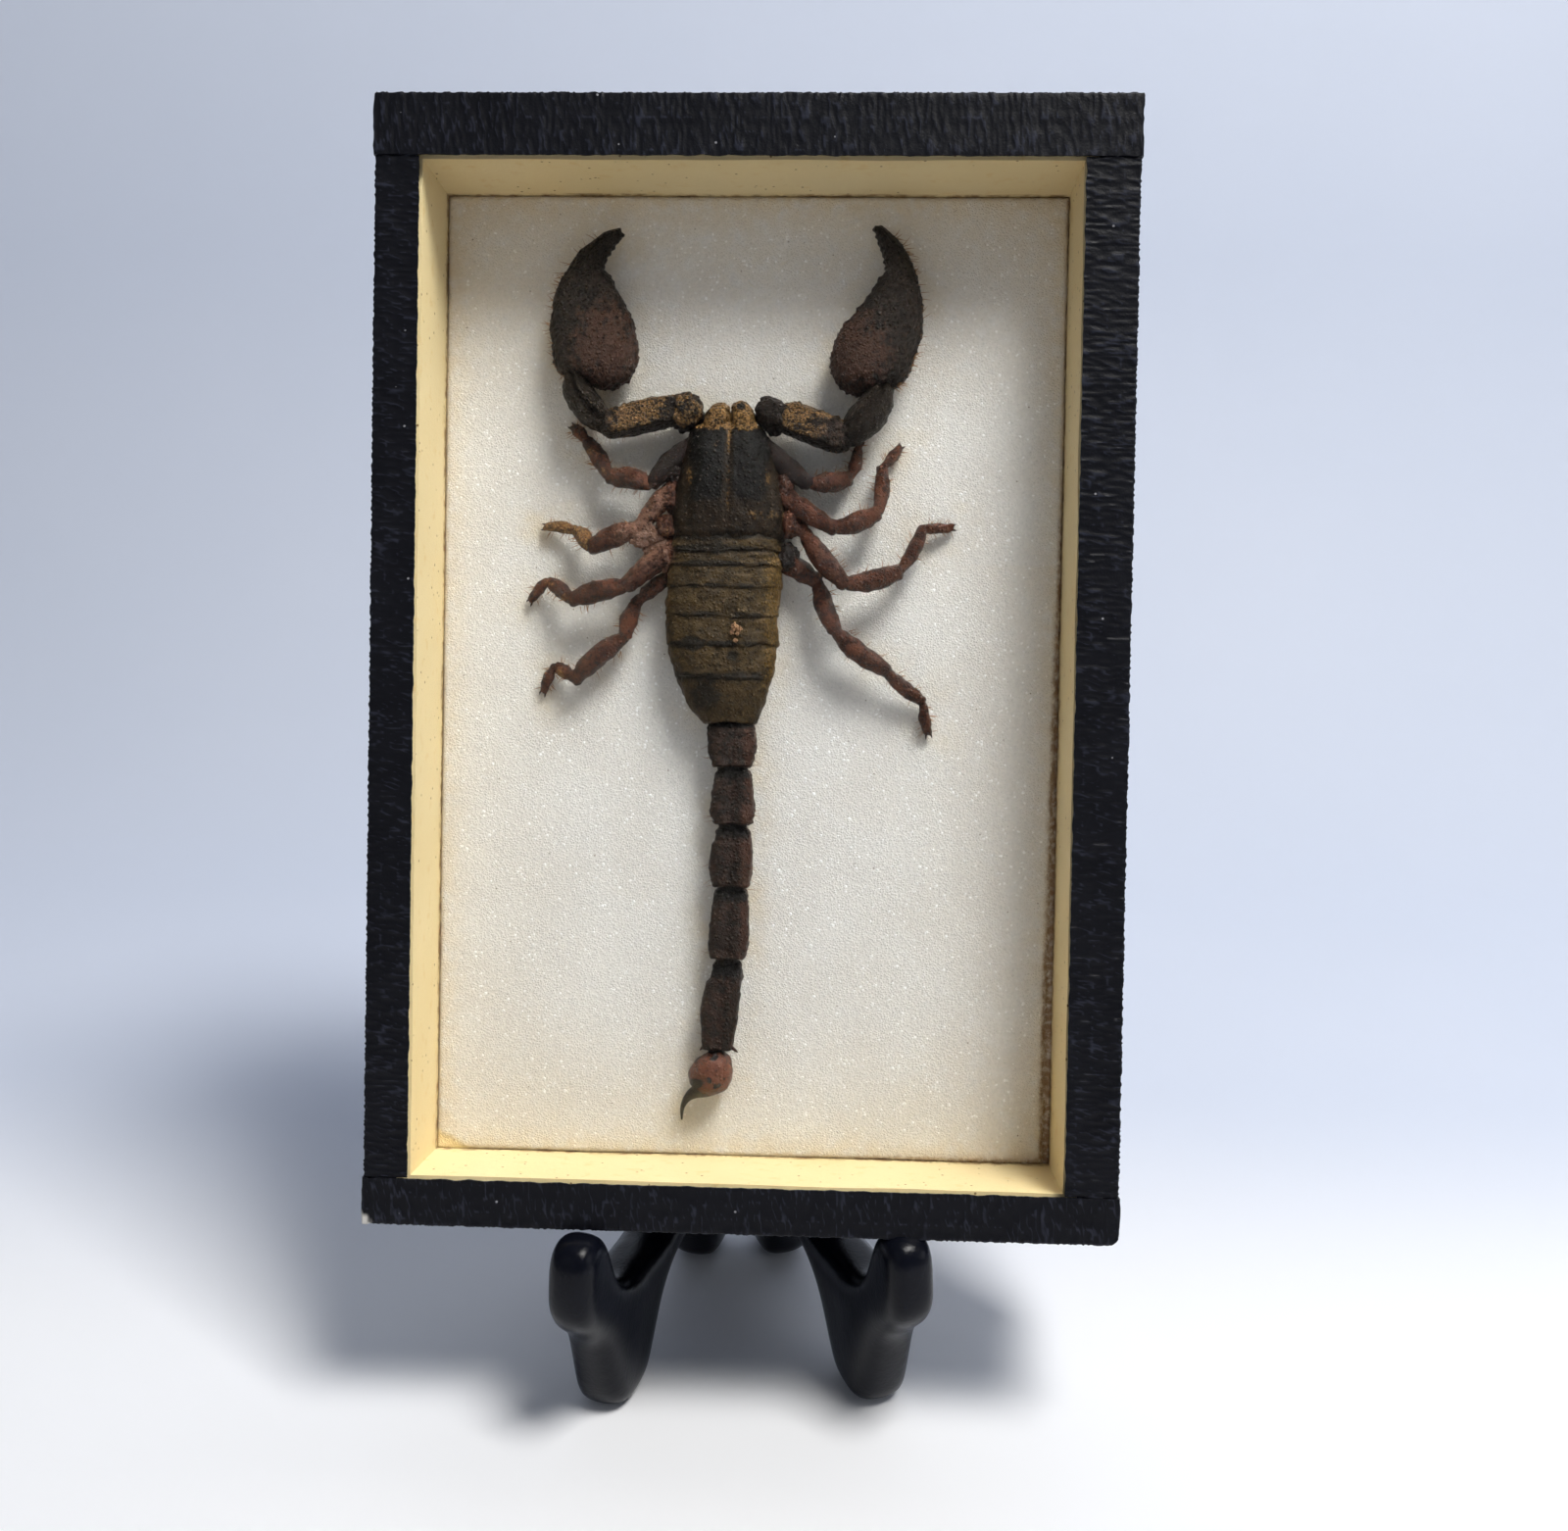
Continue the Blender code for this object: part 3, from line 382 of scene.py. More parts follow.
# %% Binding the four edges
TAPE = 0.5
FOLD = 0.6
PROUD = 0.35            # the paper bulges this far beyond the solid
LAP = 0.22              # how far the side strips lie under the top and bottom ones
SEAM = 0.12
DEPTH_CUT, BAND_CUT = 2.0, 0.8      # spacing of the cuts over the side and over the bands
RAGGED = 0.22           # how far a strip's cut edge wanders
EDGE_LEFT, EDGE_RIGHT, EDGE_TOP, EDGE_BOTTOM = 7.7, 9.2, 10.4, 8.0
HALF = CASE_WIDTH / 2
TORN_CORNER = Vector((-HALF - 0.35, -0.2, -0.3))
TORN_SIZE = 2.3
WORN_END = 3.0          # the lower right corner is worn round to this radius


def bind(name, low, high, open_sides, along, seed, height=RIB_HEIGHT):
    """A folded strip of crepe over the box from low to high, with relief along an axis."""
    bm = box_shell(low, high)
    bmesh.ops.recalc_face_normals(bm, faces=bm.faces)
    gone = [f for f in bm.faces if any(f.normal.dot(Vector(side)) > 0.9 for side in open_sides)]
    bmesh.ops.delete(bm, geom=gone, context="FACES")
    folds = [e for e in bm.edges if len(e.link_faces) == 2]
    bmesh.ops.bevel(bm, geom=folds, offset=FOLD, segments=4, profile=0.5, affect="EDGES", material=-1)
    across = 2 if along == 0 else 0
    for axis, spacing in ((along, RIB_CUT), (1, DEPTH_CUT), (across, BAND_CUT)):
        long_edges = [e for e in bm.edges
                      if abs((e.verts[0].co - e.verts[1].co)[axis]) > 2.5 * spacing
                      and abs((e.verts[0].co - e.verts[1].co).normalized()[axis]) > 0.99]
        if long_edges:
            reach = max(e.calc_length() for e in long_edges)
            bmesh.ops.subdivide_edges(bm, edges=long_edges, cuts=int(reach / spacing), use_grid_fill=True)
    bmesh.ops.recalc_face_normals(bm, faces=bm.faces)
    centre = (Vector(low) + Vector(high)) / 2
    if sum((f.calc_center_median() - centre).dot(f.normal) for f in bm.faces) < 0:
        bmesh.ops.reverse_faces(bm, faces=bm.faces)
    bm.normal_update()
    rib = bm.verts.layers.float.new("rib")
    torn = bm.verts.layers.float.new("torn")
    lifts = []
    for vert in bm.verts:
        wave = height / RIB_HEIGHT * crepe(vert.co, along, seed)
        ragged = RAGGED * noise.noise(Vector((vert.co[along] / 2.5, seed, 0))) if vert.is_boundary else 0.0
        inward = centre - vert.co
        inward[along] = inward[1] = 0.0
        lifts.append(vert.normal * (wave - height) + inward.normalized() * ragged)
        vert[rib] = 0.5 + 0.5 * wave / height
        damage = (vert.co - TORN_CORNER).length + 0.6 * noise.noise(vert.co * 1.7)
        vert[torn] = 1 - smoothstep(TORN_SIZE * 0.7, TORN_SIZE, damage)
    for vert, lift in zip(bm.verts, lifts):
        vert.co += lift
        beyond = Vector((vert.co.x - HALF - PROUD + WORN_END, 0, WORN_END - PROUD - vert.co.z))
        if beyond.x > 0 and beyond.z > 0 and beyond.length > WORN_END:
            rest = beyond * (1 - WORN_END / beyond.length)
            vert.co += Vector((-rest.x, 0, rest.z))
    bmesh.ops.solidify(bm, geom=bm.faces[:], thickness=TAPE - height)
    return finish(f"crepe_{name}", bm, BLACK_PAPER, stands_for=[f"tape_{name}"],
                  matrix=CASE, sharp=50)


low_seam, high_seam = EDGE_BOTTOM, CASE_HEIGHT - EDGE_TOP
wide = HALF + PROUD
bind("top", (-wide, 0, high_seam), (wide, CASE_DEPTH, CASE_HEIGHT + PROUD), [(0, 0, -1)], 0, 3)
bind("bottom", (-wide, 0, -0.7 * PROUD), (wide, CASE_DEPTH, low_seam), [(0, 0, 1)], 0, 11)
for name, low_x, high_x, inner, seed in (("left", -wide + LAP, -HALF + EDGE_LEFT, (1, 0, 0), 19),
                                         ("right", HALF - EDGE_RIGHT, wide - LAP, (-1, 0, 0), 27)):
    bind(name, (low_x, LAP, low_seam + SEAM), (high_x, CASE_DEPTH - LAP, high_seam - SEAM),
         [inner, (0, 0, 1), (0, 0, -1)], 2, seed, SIDE_RIB_HEIGHT)

# %% [markdown]
# ## Cream walls, pane and back
# The inner walls are cream-coated board. Light has yellowed them, insects and dust have
# left small brown specks, and they are darker brown along the line where they meet the foam.
# The pane and the back board keep their solids and only get better materials. The pane is
# clear glass that lets lamps through, because the lamps would otherwise not reach inside.

# %% Wall, pane and back materials
def cream_card():
    recipe = Recipe("cream_card", Roughness=0.55, Specular_IOR_Level=0.35)
    at = recipe.spot()
    depth = recipe.axis(at, "Y")
    aged = recipe.noise(at, 0.05, 4.0)
    colour = recipe.mix(aged, (0.75, 0.625, 0.37), (0.68, 0.53, 0.265))
    blotch = recipe.fade(recipe.noise(at, 0.35, 5.0), 0.56, 0.72)
    colour = recipe.mix(recipe.times(blotch, 0.35), colour, (0.62, 0.40, 0.14))
    dirt = recipe.times(recipe.fade(depth, -1.0, -0.1), recipe.fade(recipe.noise(at, 0.5, 5.0), 0.38, 0.66))
    colour = recipe.mix(recipe.times(dirt, 0.8), colour, (0.26, 0.125, 0.04))
    specks = recipe.times(recipe.fade(recipe.cells(at, 0.45), 0.13, 0.08),
                          recipe.fade(recipe.noise(at, 0.10), 0.42, 0.52))
    colour = recipe.mix(specks, colour, (0.20, 0.11, 0.045))
    recipe.set("Base Color", colour)
    recipe.bump(recipe.noise(at, 1.2, 4.0), 0.06)
    return recipe.material


def clear_pane():
    """Glass that hardly reflects, as museum glass; rays from lamps go straight through it."""
    recipe = Recipe("clear_pane", Base_Color=(1.0, 1.0, 1.0), Roughness=0.0, Transmission_Weight=1.0,
                    IOR=1.12)
    shadow = recipe.node("LightPath").outputs["Is Shadow Ray"]
    through = recipe.node("BsdfTransparent", {"Color": (0.93, 0.95, 0.94)})
    both = recipe.node("MixShader")
    recipe.feed(both.inputs[0], shadow)
    recipe.tree.links.new(recipe.shader.outputs["BSDF"], both.inputs[1])
    recipe.tree.links.new(through.outputs["BSDF"], both.inputs[2])
    recipe.tree.links.new(both.outputs["Shader"], recipe.tree.nodes["Material Output"].inputs["Surface"])
    return recipe.material


def grey_board():
    """Pressed board with fibres along it and darker flecks."""
    recipe = Recipe("grey_board", Roughness=0.85)
    at = recipe.spot(stretch=(1, 1, 5))
    fibres = recipe.noise(at, 1.4, 6.0, 0.7)
    colour = recipe.mix(fibres, (0.20, 0.145, 0.09), (0.34, 0.26, 0.17))
    flecks = recipe.fade(recipe.cells(recipe.spot(), 0.6), 0.16, 0.08)
    recipe.set("Base Color", recipe.mix(flecks, colour, (0.10, 0.07, 0.045)))
    recipe.bump(fibres, 0.15)
    return recipe.material


dress("glass_pane", clear_pane())
dress("back_board", grey_board())

# %% [markdown]
# ## The cream liner
# The four wall strips are bent from one sheet of card, so their corners close, and the
# card is not quite flat. Each strip is a face that is extruded to its depth, cut into a
# grid and moved a little by noise, and it stands for the solid wall with its open mitres.

# %% Liner strips
LINER_FRONT, LINER_BACK = 2.75, 26.5
LINER_OUT = 2.4         # thickness of a strip at its thickest
GRID = 6.0              # edges longer than this are cut again
SWAY, SWAY_SIZE = 0.16, 14.0        # how far the card is off flat, and over what length
INSIDE = (-HALF + EDGE_LEFT, HALF - EDGE_RIGHT, low_seam, high_seam)
CARD = cream_card()


def liner(side):
    in_left, in_right, in_bottom, in_top = INSIDE
    far = {"left": [(in_left, in_bottom), (in_left, in_top), (-1, 1), (-1, -1)],
           "right": [(in_right, in_bottom), (in_right, in_top), (1, 1), (1, -1)],
           "bottom": [(in_left, in_bottom), (in_right, in_bottom), (1, -1), (-1, -1)],
           "top": [(in_left, in_top), (in_right, in_top), (1, 1), (-1, 1)]}[side]
    inner, outer = far[:2], far[2:]
    corners = inner + [(inner[1 - i][0] + LINER_OUT * du, inner[1 - i][1] + LINER_OUT * dv)
                       for i, (du, dv) in enumerate(outer)]
    bm = slab([(x, LINER_FRONT, z) for x, z in corners], (0, LINER_BACK - LINER_FRONT, 0))
    for _ in range(2):
        long_edges = [e for e in bm.edges if e.calc_length() > GRID]
        bmesh.ops.subdivide_edges(bm, edges=long_edges, cuts=5, use_grid_fill=True)
    bmesh.ops.recalc_face_normals(bm, faces=bm.faces)
    for vert in bm.verts:
        sway = SWAY * noise.noise(vert.co / SWAY_SIZE)
        vert.co.x += sway
        vert.co.z += sway
    return bm


for side in ("left", "right", "top", "bottom"):
    finish(f"liner_{side}", liner(side), CARD, stands_for=[f"wall_{side}"], matrix=CASE,
           sharp=30)

# %% [markdown]
# ## The easel
# Two painted boards stand in a V and fold together on two hinges at the back. A saw cut
# their outline and a router rounded every edge, so they are made the same way: an outline
# with filleted corners, extruded to a board, with its edges bevelled round. The paint is
# thick and satin, with low lumps where it ran.

# %% Board outline
BOARD_THICKNESS = 11.0
EDGE_ROUND = 4.38
EASEL_TURN = math.radians(4.4)
HALF_ANGLE = math.radians(18.7)
HINGE_LINE = Vector(frame["joints"][0]["pos_m"]) / MM
BOARD_REAR = 1.9
ARC_STEP = 6.0
BOARD_CORNERS = (
    (BOARD_REAR, 0.0, 4.4), (14.5, 0.0, 4.4), (21.0, 15.5, 9.0), (39.5, 15.5, 16.0), (51.0, 0.0, 4.4),
    (63.4, -0.2, 5.5), (68.6, 19.0, 12.0), (76.6, 27.0, 7.5), (74.6, 42.4, 5.0), (65.6, 39.8, 4.6),
    (60.5, 24.5, 9.0), (34.0, 22.5, 7.0), (11.0, 117.5, 4.6), (BOARD_REAR, 119.0, 4.4),
)


def rounded_outline(corners):
    """Fillet each corner (ahead, height, radius) of a closed outline with an arc."""
    points = []
    for index, (ahead, height, radius) in enumerate(corners):
        here = Vector((ahead, height))
        before = (Vector(corners[index - 1][:2]) - here).normalized()
        after = (Vector(corners[(index + 1) % len(corners)][:2]) - here).normalized()
        opening = before.angle(after)
        reach = radius / math.tan(opening / 2)
        centre = here + (before + after).normalized() * radius / math.sin(opening / 2)
        start = here + before * reach - centre
        turn = start.angle_signed(here + after * reach - centre)
        steps = max(2, round(abs(math.degrees(turn)) / ARC_STEP))
        for step in range(steps + 1):
            angle = -turn * step / steps
            points.append(centre + Matrix.Rotation(angle, 2) @ start)
    return points


CLEAR = 0.3             # from the fold's middle plane to a board's inner face
ROUND_SEGMENTS = 7
KNOB_SLIM = 0.20        # the hooks were sanded thinner than the board
SLIM_START, SLIM_END = 58.0, 70.0   # how far ahead the board begins and ends to grow thinner
SKIN_VOXEL, SKIN_ROUNDS = 0.75, 34  # grain and softness of the painted skin


def easel_board(side):
    """A board in its own plane, inner face near x = 0, hook towards -Y."""
    outline = rounded_outline(BOARD_CORNERS)
    bm = slab([(side * CLEAR, -p.x, p.y) for p in outline], (side * BOARD_THICKNESS, 0, 0))
    sides = [f for f in bm.faces if len(f.verts) == len(outline)]
    rim = [e for f in sides for e in f.edges if not all(abs(v.co.y + BOARD_REAR) < 0.01 for v in e.verts)]
    bmesh.ops.bevel(bm, geom=rim, offset=EDGE_ROUND, segments=ROUND_SEGMENTS, profile=0.5, affect="EDGES",
                    clamp_overlap=True, material=-1)
    bmesh.ops.recalc_face_normals(bm, faces=bm.faces)
    middle = side * (CLEAR + BOARD_THICKNESS / 2)
    for vert in bm.verts:
        slim = 1 - KNOB_SLIM * smoothstep(SLIM_START, SLIM_END, -vert.co.y)
        vert.co.x = middle + (vert.co.x - middle) * slim
    return bm


def worn_round(bm, voxel, rounds):
    """The same solid with an even skin, its corners softened as by many coats of paint."""
    mesh = bpy.data.meshes.new("coated")
    bm.to_mesh(mesh)
    bm.free()
    blank = bpy.data.objects.new("coated", mesh)
    bpy.context.collection.objects.link(blank)
    remesh = blank.modifiers.new("even_skin", "REMESH")
    remesh.mode = "VOXEL"
    remesh.voxel_size = voxel
    bpy.context.view_layer.update()
    skin = blank.evaluated_get(bpy.context.evaluated_depsgraph_get()).to_mesh()
    smooth = bmesh.new()
    smooth.from_mesh(skin)
    bpy.data.objects.remove(blank, do_unlink=True)
    for _ in range(rounds):
        bmesh.ops.smooth_vert(smooth, verts=smooth.verts, factor=0.5, use_axis_x=True, use_axis_y=True,
                              use_axis_z=True)
    bmesh.ops.recalc_face_normals(smooth, faces=smooth.faces)
    return smooth


# %% Satin black paint
def satin_paint():
    recipe = Recipe("satin_black_paint", Specular_IOR_Level=0.15)
    at = recipe.spot()
    lumps = recipe.noise(at, 0.16, 2.0, 0.4)
    grain = recipe.noise(recipe.spot(stretch=(1, 1, 4)), 1.6, 4.0)
    # blue-black in lumps of paint; the blue in it is a painted bluish sheen
    colour = recipe.mix(lumps, (0.0022, 0.0026, 0.0052), (0.0046, 0.0055, 0.0104))
    scuffs = recipe.fade(recipe.noise(at, 1.3, 6.0, 0.7), 0.66, 0.80)
    recipe.set("Base Color", recipe.mix(scuffs, colour, (0.035, 0.036, 0.042)))
    recipe.set("Roughness", recipe.ramp(grain, 0.16, 0.30))
    recipe.bump(recipe.sum("ADD", lumps, recipe.times(recipe.noise(at, 1.7, 4.0, 0.6), 0.5)), 0.11)
    return recipe.material


SATIN_PAINT = satin_paint()
EASEL = (Matrix.Scale(MM, 4) @ Matrix.Translation((HINGE_LINE.x, HINGE_LINE.y, 0))
         @ Matrix.Rotation(EASEL_TURN, 4, "Z"))
for name, side, body in (("left", -1, "display"), ("right", 1, "easel_wing")):
    finish(f"board_{name}", worn_round(easel_board(side), SKIN_VOXEL, SKIN_ROUNDS), SATIN_PAINT,
           body=body,
           stands_for=[f"easel_half_{name}"], matrix=EASEL @ Matrix.Rotation(side * HALF_ANGLE, 4, "Z"))

# %% [markdown]
# ## Hinges and screws
# Two small brass hinges join the boards at the back. Their solids already have the leaves,
# knuckles and pins, so they get a worn brass, and each leaf gets two countersunk screws:
# a low domed head with a slot pressed into it.

# %% Brass
def worn_brass(name, clean, stained):
    recipe = Recipe(name, Metallic=1.0)
    at = recipe.spot()
    stain = recipe.noise(at, 0.5, 5.0, 0.65)
    colour = recipe.mix(recipe.fade(stain, 0.38, 0.62), clean, stained)
    grime = recipe.fade(recipe.noise(at, 1.8, 4.0), 0.62, 0.74)
    recipe.set("Base Color", recipe.mix(grime, colour, (0.10, 0.06, 0.03)))
    recipe.set("Roughness", recipe.ramp(stain, 0.22, 0.52))
    recipe.bump(recipe.noise(recipe.spot(stretch=(1, 1, 6)), 2.5, 3.0), 0.02)
    return recipe.material


BRASS = worn_brass("worn_brass", (0.62, 0.42, 0.14), (0.36, 0.22, 0.07))
SCREW_STEEL = worn_brass("screw_steel", (0.78, 0.74, 0.66), (0.40, 0.36, 0.30))
for name in NODES:
    if name.startswith("hinge"):
        dress(name, BRASS)

# %% Screws
SCREW_RADIUS = 1.5
SCREW_STEPS = ((0.12, 0.16), (0.30, 0.14), (0.35, 0.08))     # inset and rise of each ring
SCREW_SKIRT = 0.25      # how far a head goes on below its rim
SLOT, SLOT_FLOOR = 0.28, 0.05       # width of the slot, and its floor above the rim
SCREW_SPOT = 6.2        # distance from the hinge line
SCREW_HEIGHTS = (3.4, 12.6)         # above a hinge's lower end
TWIST = 0.4             # turns each slot another way
LEAF_BACK = -0.95       # the outer face of a leaf, ahead of the hinge line
HINGE_LOWS = (30.0, 84.0)


def screw_head(side, height):
    bm = bmesh.new()
    bmesh.ops.create_circle(bm, segments=32, radius=SCREW_RADIUS, cap_ends=True)
    top = bm.faces[:]
    for inset, rise in SCREW_STEPS:
        bmesh.ops.inset_region(bm, faces=top, thickness=inset, depth=0.0, use_even_offset=True)
        for vert in {v for f in top for v in f.verts}:
            vert.co.z += rise
    low = min(v.co.z for v in bm.verts)
    for y in (SLOT / 2, -SLOT / 2):
        everything = bm.verts[:] + bm.edges[:] + bm.faces[:]
        bmesh.ops.bisect_plane(bm, geom=everything, plane_co=(0, y, 0), plane_no=(0, 1, 0))
    slot = [f for f in bm.faces if abs(f.calc_center_median().y) < SLOT / 2]
    made = bmesh.ops.extrude_face_region(bm, geom=slot)["geom"]
    bmesh.ops.delete(bm, geom=slot, context="FACES")
    for vert in verts_in(made):
        vert.co.z = low + SLOT_FLOOR
    bmesh.ops.rotate(bm, verts=bm.verts, matrix=Matrix.Rotation(TWIST * height, 3, "Z"))
    rim = [e for e in bm.edges if e.is_boundary and all(v.co.z <= low + 0.01 for v in e.verts)]
    skirt = bmesh.ops.extrude_edge_only(bm, edges=rim)["geom"]
    bmesh.ops.translate(bm, vec=(0, 0, -SCREW_SKIRT), verts=verts_in(skirt))
    bmesh.ops.edgeloop_fill(bm, edges=[e for e in bm.edges if e.is_boundary])
    bmesh.ops.remove_doubles(bm, verts=bm.verts, dist=0.001)
    bmesh.ops.recalc_face_normals(bm, faces=bm.faces)
    stand = Matrix.Translation((side * SCREW_SPOT, LEAF_BACK, height)) @ Matrix.Rotation(-math.pi / 2, 4, "X")
    bm.transform(stand)
    return bm


for name, side, body in (("left", -1, "display"), ("right", 1, "easel_wing")):
    heads = [screw_head(side, low + up) for low in HINGE_LOWS for up in SCREW_HEIGHTS]
    finish(f"screws_{name}", join(heads), SCREW_STEEL, body=body,
           matrix=EASEL @ Matrix.Rotation(side * HALF_ANGLE, 4, "Z"), sharp=30)

# %% [markdown]
# ## Tools for the scorpion
# A scorpion's shell is made of rings: back plates, tail segments and leg segments that
# overlap like sleeves. Each one is a loft here: a circle is extruded from one cross-section
# to the next, and every cross-section is given by its two edge points on the foam and by
# its lowest and highest level. Afterwards each point is pushed along its normal for keels,
# grooves and grains, and gets the marks (gold, dark, red and so on) that its material reads.

# %% Cross-sections
SHIELD_POWER = 2.6


def oval(angle):
    return 1.0


def blunt(angle):
    """Fuller than an ellipse, as a shield-like back is."""
    return (abs(math.cos(angle)) ** SHIELD_POWER
            + abs(math.sin(angle)) ** SHIELD_POWER) ** (-1 / SHIELD_POWER)


def keeled(angle):
    """Four blunt keels along a tail segment."""
    return 1.0 + 0.085 * math.cos(4 * (angle - math.pi / 4))


def cut(left, right, low, high, waist=0.4):
    """A cross-section between two edge points (u, v), from height low to high."""
    return (*left, *right, low, high, waist)


def level_cut(v, left, right, low, high):
    return cut((left, v), (right, v), low, high)


def flow(rows, steps):
    """Cross-sections between the given ones, on a smooth curve through them."""
    rows = np.array(rows)
    padded = np.vstack([2 * rows[0] - rows[1], rows, 2 * rows[-1] - rows[-2]])
    finer = []
    for a, b, c, d in zip(padded, padded[1:], padded[2:], padded[3:]):
        for t in np.arange(steps) / steps:
            finer.append(b + 0.5 * t * (c - a + t * (2 * a - 5 * b + 4 * c - d + t * (3 * (b - c) + d - a))))
    return finer + [rows[-1]]


def skin_point(values, angle, outline):
    left_u, left_v, right_u, right_v, low, high, waist = values
    reach = outline(angle)
    across, lift = math.cos(angle) * reach, math.sin(angle) * reach
    belt = low + waist * (high - low)
    rise = high - belt if lift > 0 else belt - low
    return Vector(((left_u + right_u + (right_u - left_u) * across) / 2, -(belt + rise * lift),
                   (left_v + right_v + (right_v - left_v) * across) / 2))


# %% Loft, relief and marks
MARKS = ("gold", "dark", "red", "film", "gloss")


def loft(rows, sides, outline=oval):
    """Skin the cross-sections; each point keeps its turn round and its way along."""
    bm = bmesh.new()
    turn, way = bm.verts.layers.float.new("turn"), bm.verts.layers.float.new("way")
    bmesh.ops.create_circle(bm, segments=sides, radius=1.0, cap_ends=True)
    verts, edges = list(bm.verts), list(bm.edges)
    for vert in verts:
        vert[turn] = math.atan2(vert.co.y, vert.co.x)
    for index, values in enumerate(rows):
        if index:
            verts, edges = extrude_ring(bm, edges)
        for vert in verts:
            vert.co = skin_point(values, vert[turn], outline)
            vert[way] = index / (len(rows) - 1)
    bmesh.ops.edgeloop_fill(bm, edges=edges)
    bmesh.ops.poke(bm, faces=[f for f in bm.faces if len(f.verts) > 4])
    bmesh.ops.recalc_face_normals(bm, faces=bm.faces)
    return bm


class Spot:
    """Where a point lies on the foam, round and along its segment, and how far it faces up."""

    def __init__(self, vert, turn, way):
        self.u, self.h, self.v = vert.co.x, -vert.co.y, vert.co.z
        self.up = -vert.normal.y
        self.turn, self.way = vert[turn], vert[way]

    def grain(self, size, seed=0.0):
        return noise.noise(Vector((self.u, self.v, self.h + seed)) / size)

    def beads(self, size):
        """Round grains: 1 on top of each one and 0 between them."""
        return max(0.0, 1 - 1.6 * noise.voronoi(Vector((self.u, self.v, self.h)) / size)[0][0])

    def near(self, u, v, reach):
        return bell(math.hypot(self.u - u, self.v - v), reach)


def bell(distance, width):
    return math.exp(-(distance / width) ** 2)


def clip(value):
    return min(1.0, max(0.0, value))


def work(bm, relief, marks):
    """Raise the relief and note the marks on each point."""
    bm.normal_update()
    tones = {name: bm.verts.layers.float.new(name) for name in MARKS}
    turn, way = bm.verts.layers.float["turn"], bm.verts.layers.float["way"]
    lifts = []
    for vert in bm.verts:
        spot = Spot(vert, turn, way)
        lifts.append(vert.normal * relief(spot))
        for name, value in marks(spot).items():
            vert[tones[name]] = clip(value)
    for vert, lift in zip(bm.verts, lifts):
        vert.co += lift
    return bm

# %% [markdown]
# ## Dried shell
# All of the shell is the same stuff: thick, grainy and dull where dust has settled, glossy
# where it is clean. One recipe makes it, with other ground colours for trunk, tail, claws
# and legs. The marks on the points choose between ground, charcoal, gold and red, fine
# noise breaks their borders, and tiny grains and pits come from cells and bump. Pale specks
# sit on the tops of the grains: partly settled dust, partly a painted highlight.

# %% Shell recipe
GOLD_DUST = (0.215, 0.118, 0.040)
PINK_FILM = (0.172, 0.092, 0.060)


def dried_shell(name, ground, shade, charcoal, red, grain_size, gold=GOLD_DUST, rough=(0.30, 0.52), bump=0.18,
                shine=0.2):
    recipe = Recipe(name, Specular_IOR_Level=shine)
    at = recipe.spot()
    cloud = recipe.noise(at, 0.50, 3.0, 0.65)
    fine = recipe.noise(at, 1.7, 4.0, 0.7)
    broken = recipe.times(recipe.sum("ADD", cloud, fine), 0.5)
    swing = recipe.ramp(broken, 0.30, 1.70, 0.36, 0.64, clamp=False)

    def patchy(mark, soft=0.14):
        """A mark whose border follows the noise, and that opens up where the mark is weak."""
        return recipe.fade(recipe.times(recipe.painted(mark), swing), 0.5 - soft, 0.5 + soft)

    colour = recipe.mix(recipe.fade(broken, 0.42, 0.58), shade, ground)
    colour = recipe.mix(patchy("red"), colour, red)
    colour = recipe.mix(patchy("dark"), colour, charcoal)
    pitted = recipe.fade(recipe.noise(at, 2.4, 3.0, 0.8), 0.40, 0.58)
    colour = recipe.mix(recipe.times(patchy("gold"), pitted), colour, gold)
    colour = recipe.mix(recipe.times(patchy("film", 0.3), 0.7), colour, PINK_FILM)
    grains = recipe.cells(at, 1 / grain_size)
    # pale specks on the grain tops: settled dust, and a painted highlight on each grain
    dust_and_glint = recipe.times(recipe.fade(grains, 0.26, 0.10), recipe.fade(cloud, 0.44, 0.60))
    colour = recipe.mix(recipe.times(dust_and_glint, 0.40), colour, recipe.mix(0.5, colour, (0.26, 0.19, 0.14)))
    colour = recipe.mix(recipe.fade(fine, 0.46, 0.30), colour,
                        recipe.mix(0.72, colour, (0.004, 0.003, 0.0025)))
    recipe.set("Base Color", colour)
    dull = recipe.ramp(fine, *rough, 0.35, 0.65)
    polish = recipe.times(recipe.painted("gloss"), 0.24)
    recipe.set("Roughness", recipe.sum("SUBTRACT", dull, polish))
    height = recipe.sum("ADD", recipe.fade(grains, 0.45, 0.05), recipe.times(fine, 1.5))
    recipe.bump(height, bump)
    return recipe.material


TRUNK_SHELL = dried_shell("trunk_shell", (0.0230, 0.0140, 0.0072), (0.0085, 0.0056, 0.0035),
                          (0.0042, 0.0038, 0.0034),
                          (0.048, 0.020, 0.010), 0.8, shine=0.13)
TAIL_SHELL = dried_shell("tail_shell", (0.026, 0.0130, 0.0084), (0.0075, 0.0044, 0.0032),
                         (0.0036, 0.0027, 0.0024),
                         (0.042, 0.0170, 0.0098), 0.8, bump=0.26, shine=0.20)
CLAW_SHELL = dried_shell("claw_shell", (0.0180, 0.0105, 0.0070), (0.0070, 0.0043, 0.0031),
                         (0.0165, 0.0115, 0.0078),
                         (0.050, 0.0215, 0.0128), 0.75, bump=0.46, shine=0.24)
LEG_SHELL = dried_shell("leg_shell", (0.070, 0.0245, 0.0135), (0.029, 0.0108, 0.0064),
                        (0.0085, 0.0046, 0.0034),
                        (0.088, 0.0315, 0.0175), 0.8, rough=(0.16, 0.32), bump=0.26, shine=0.36)

# %% [markdown]
# ## Trunk
# In front lies the shield, one plate with a groove down its middle, two dark lobes and a
# pair of small eyes. Behind it seven back plates overlap, each one's rear edge standing a
# little proud of the next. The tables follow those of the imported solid.

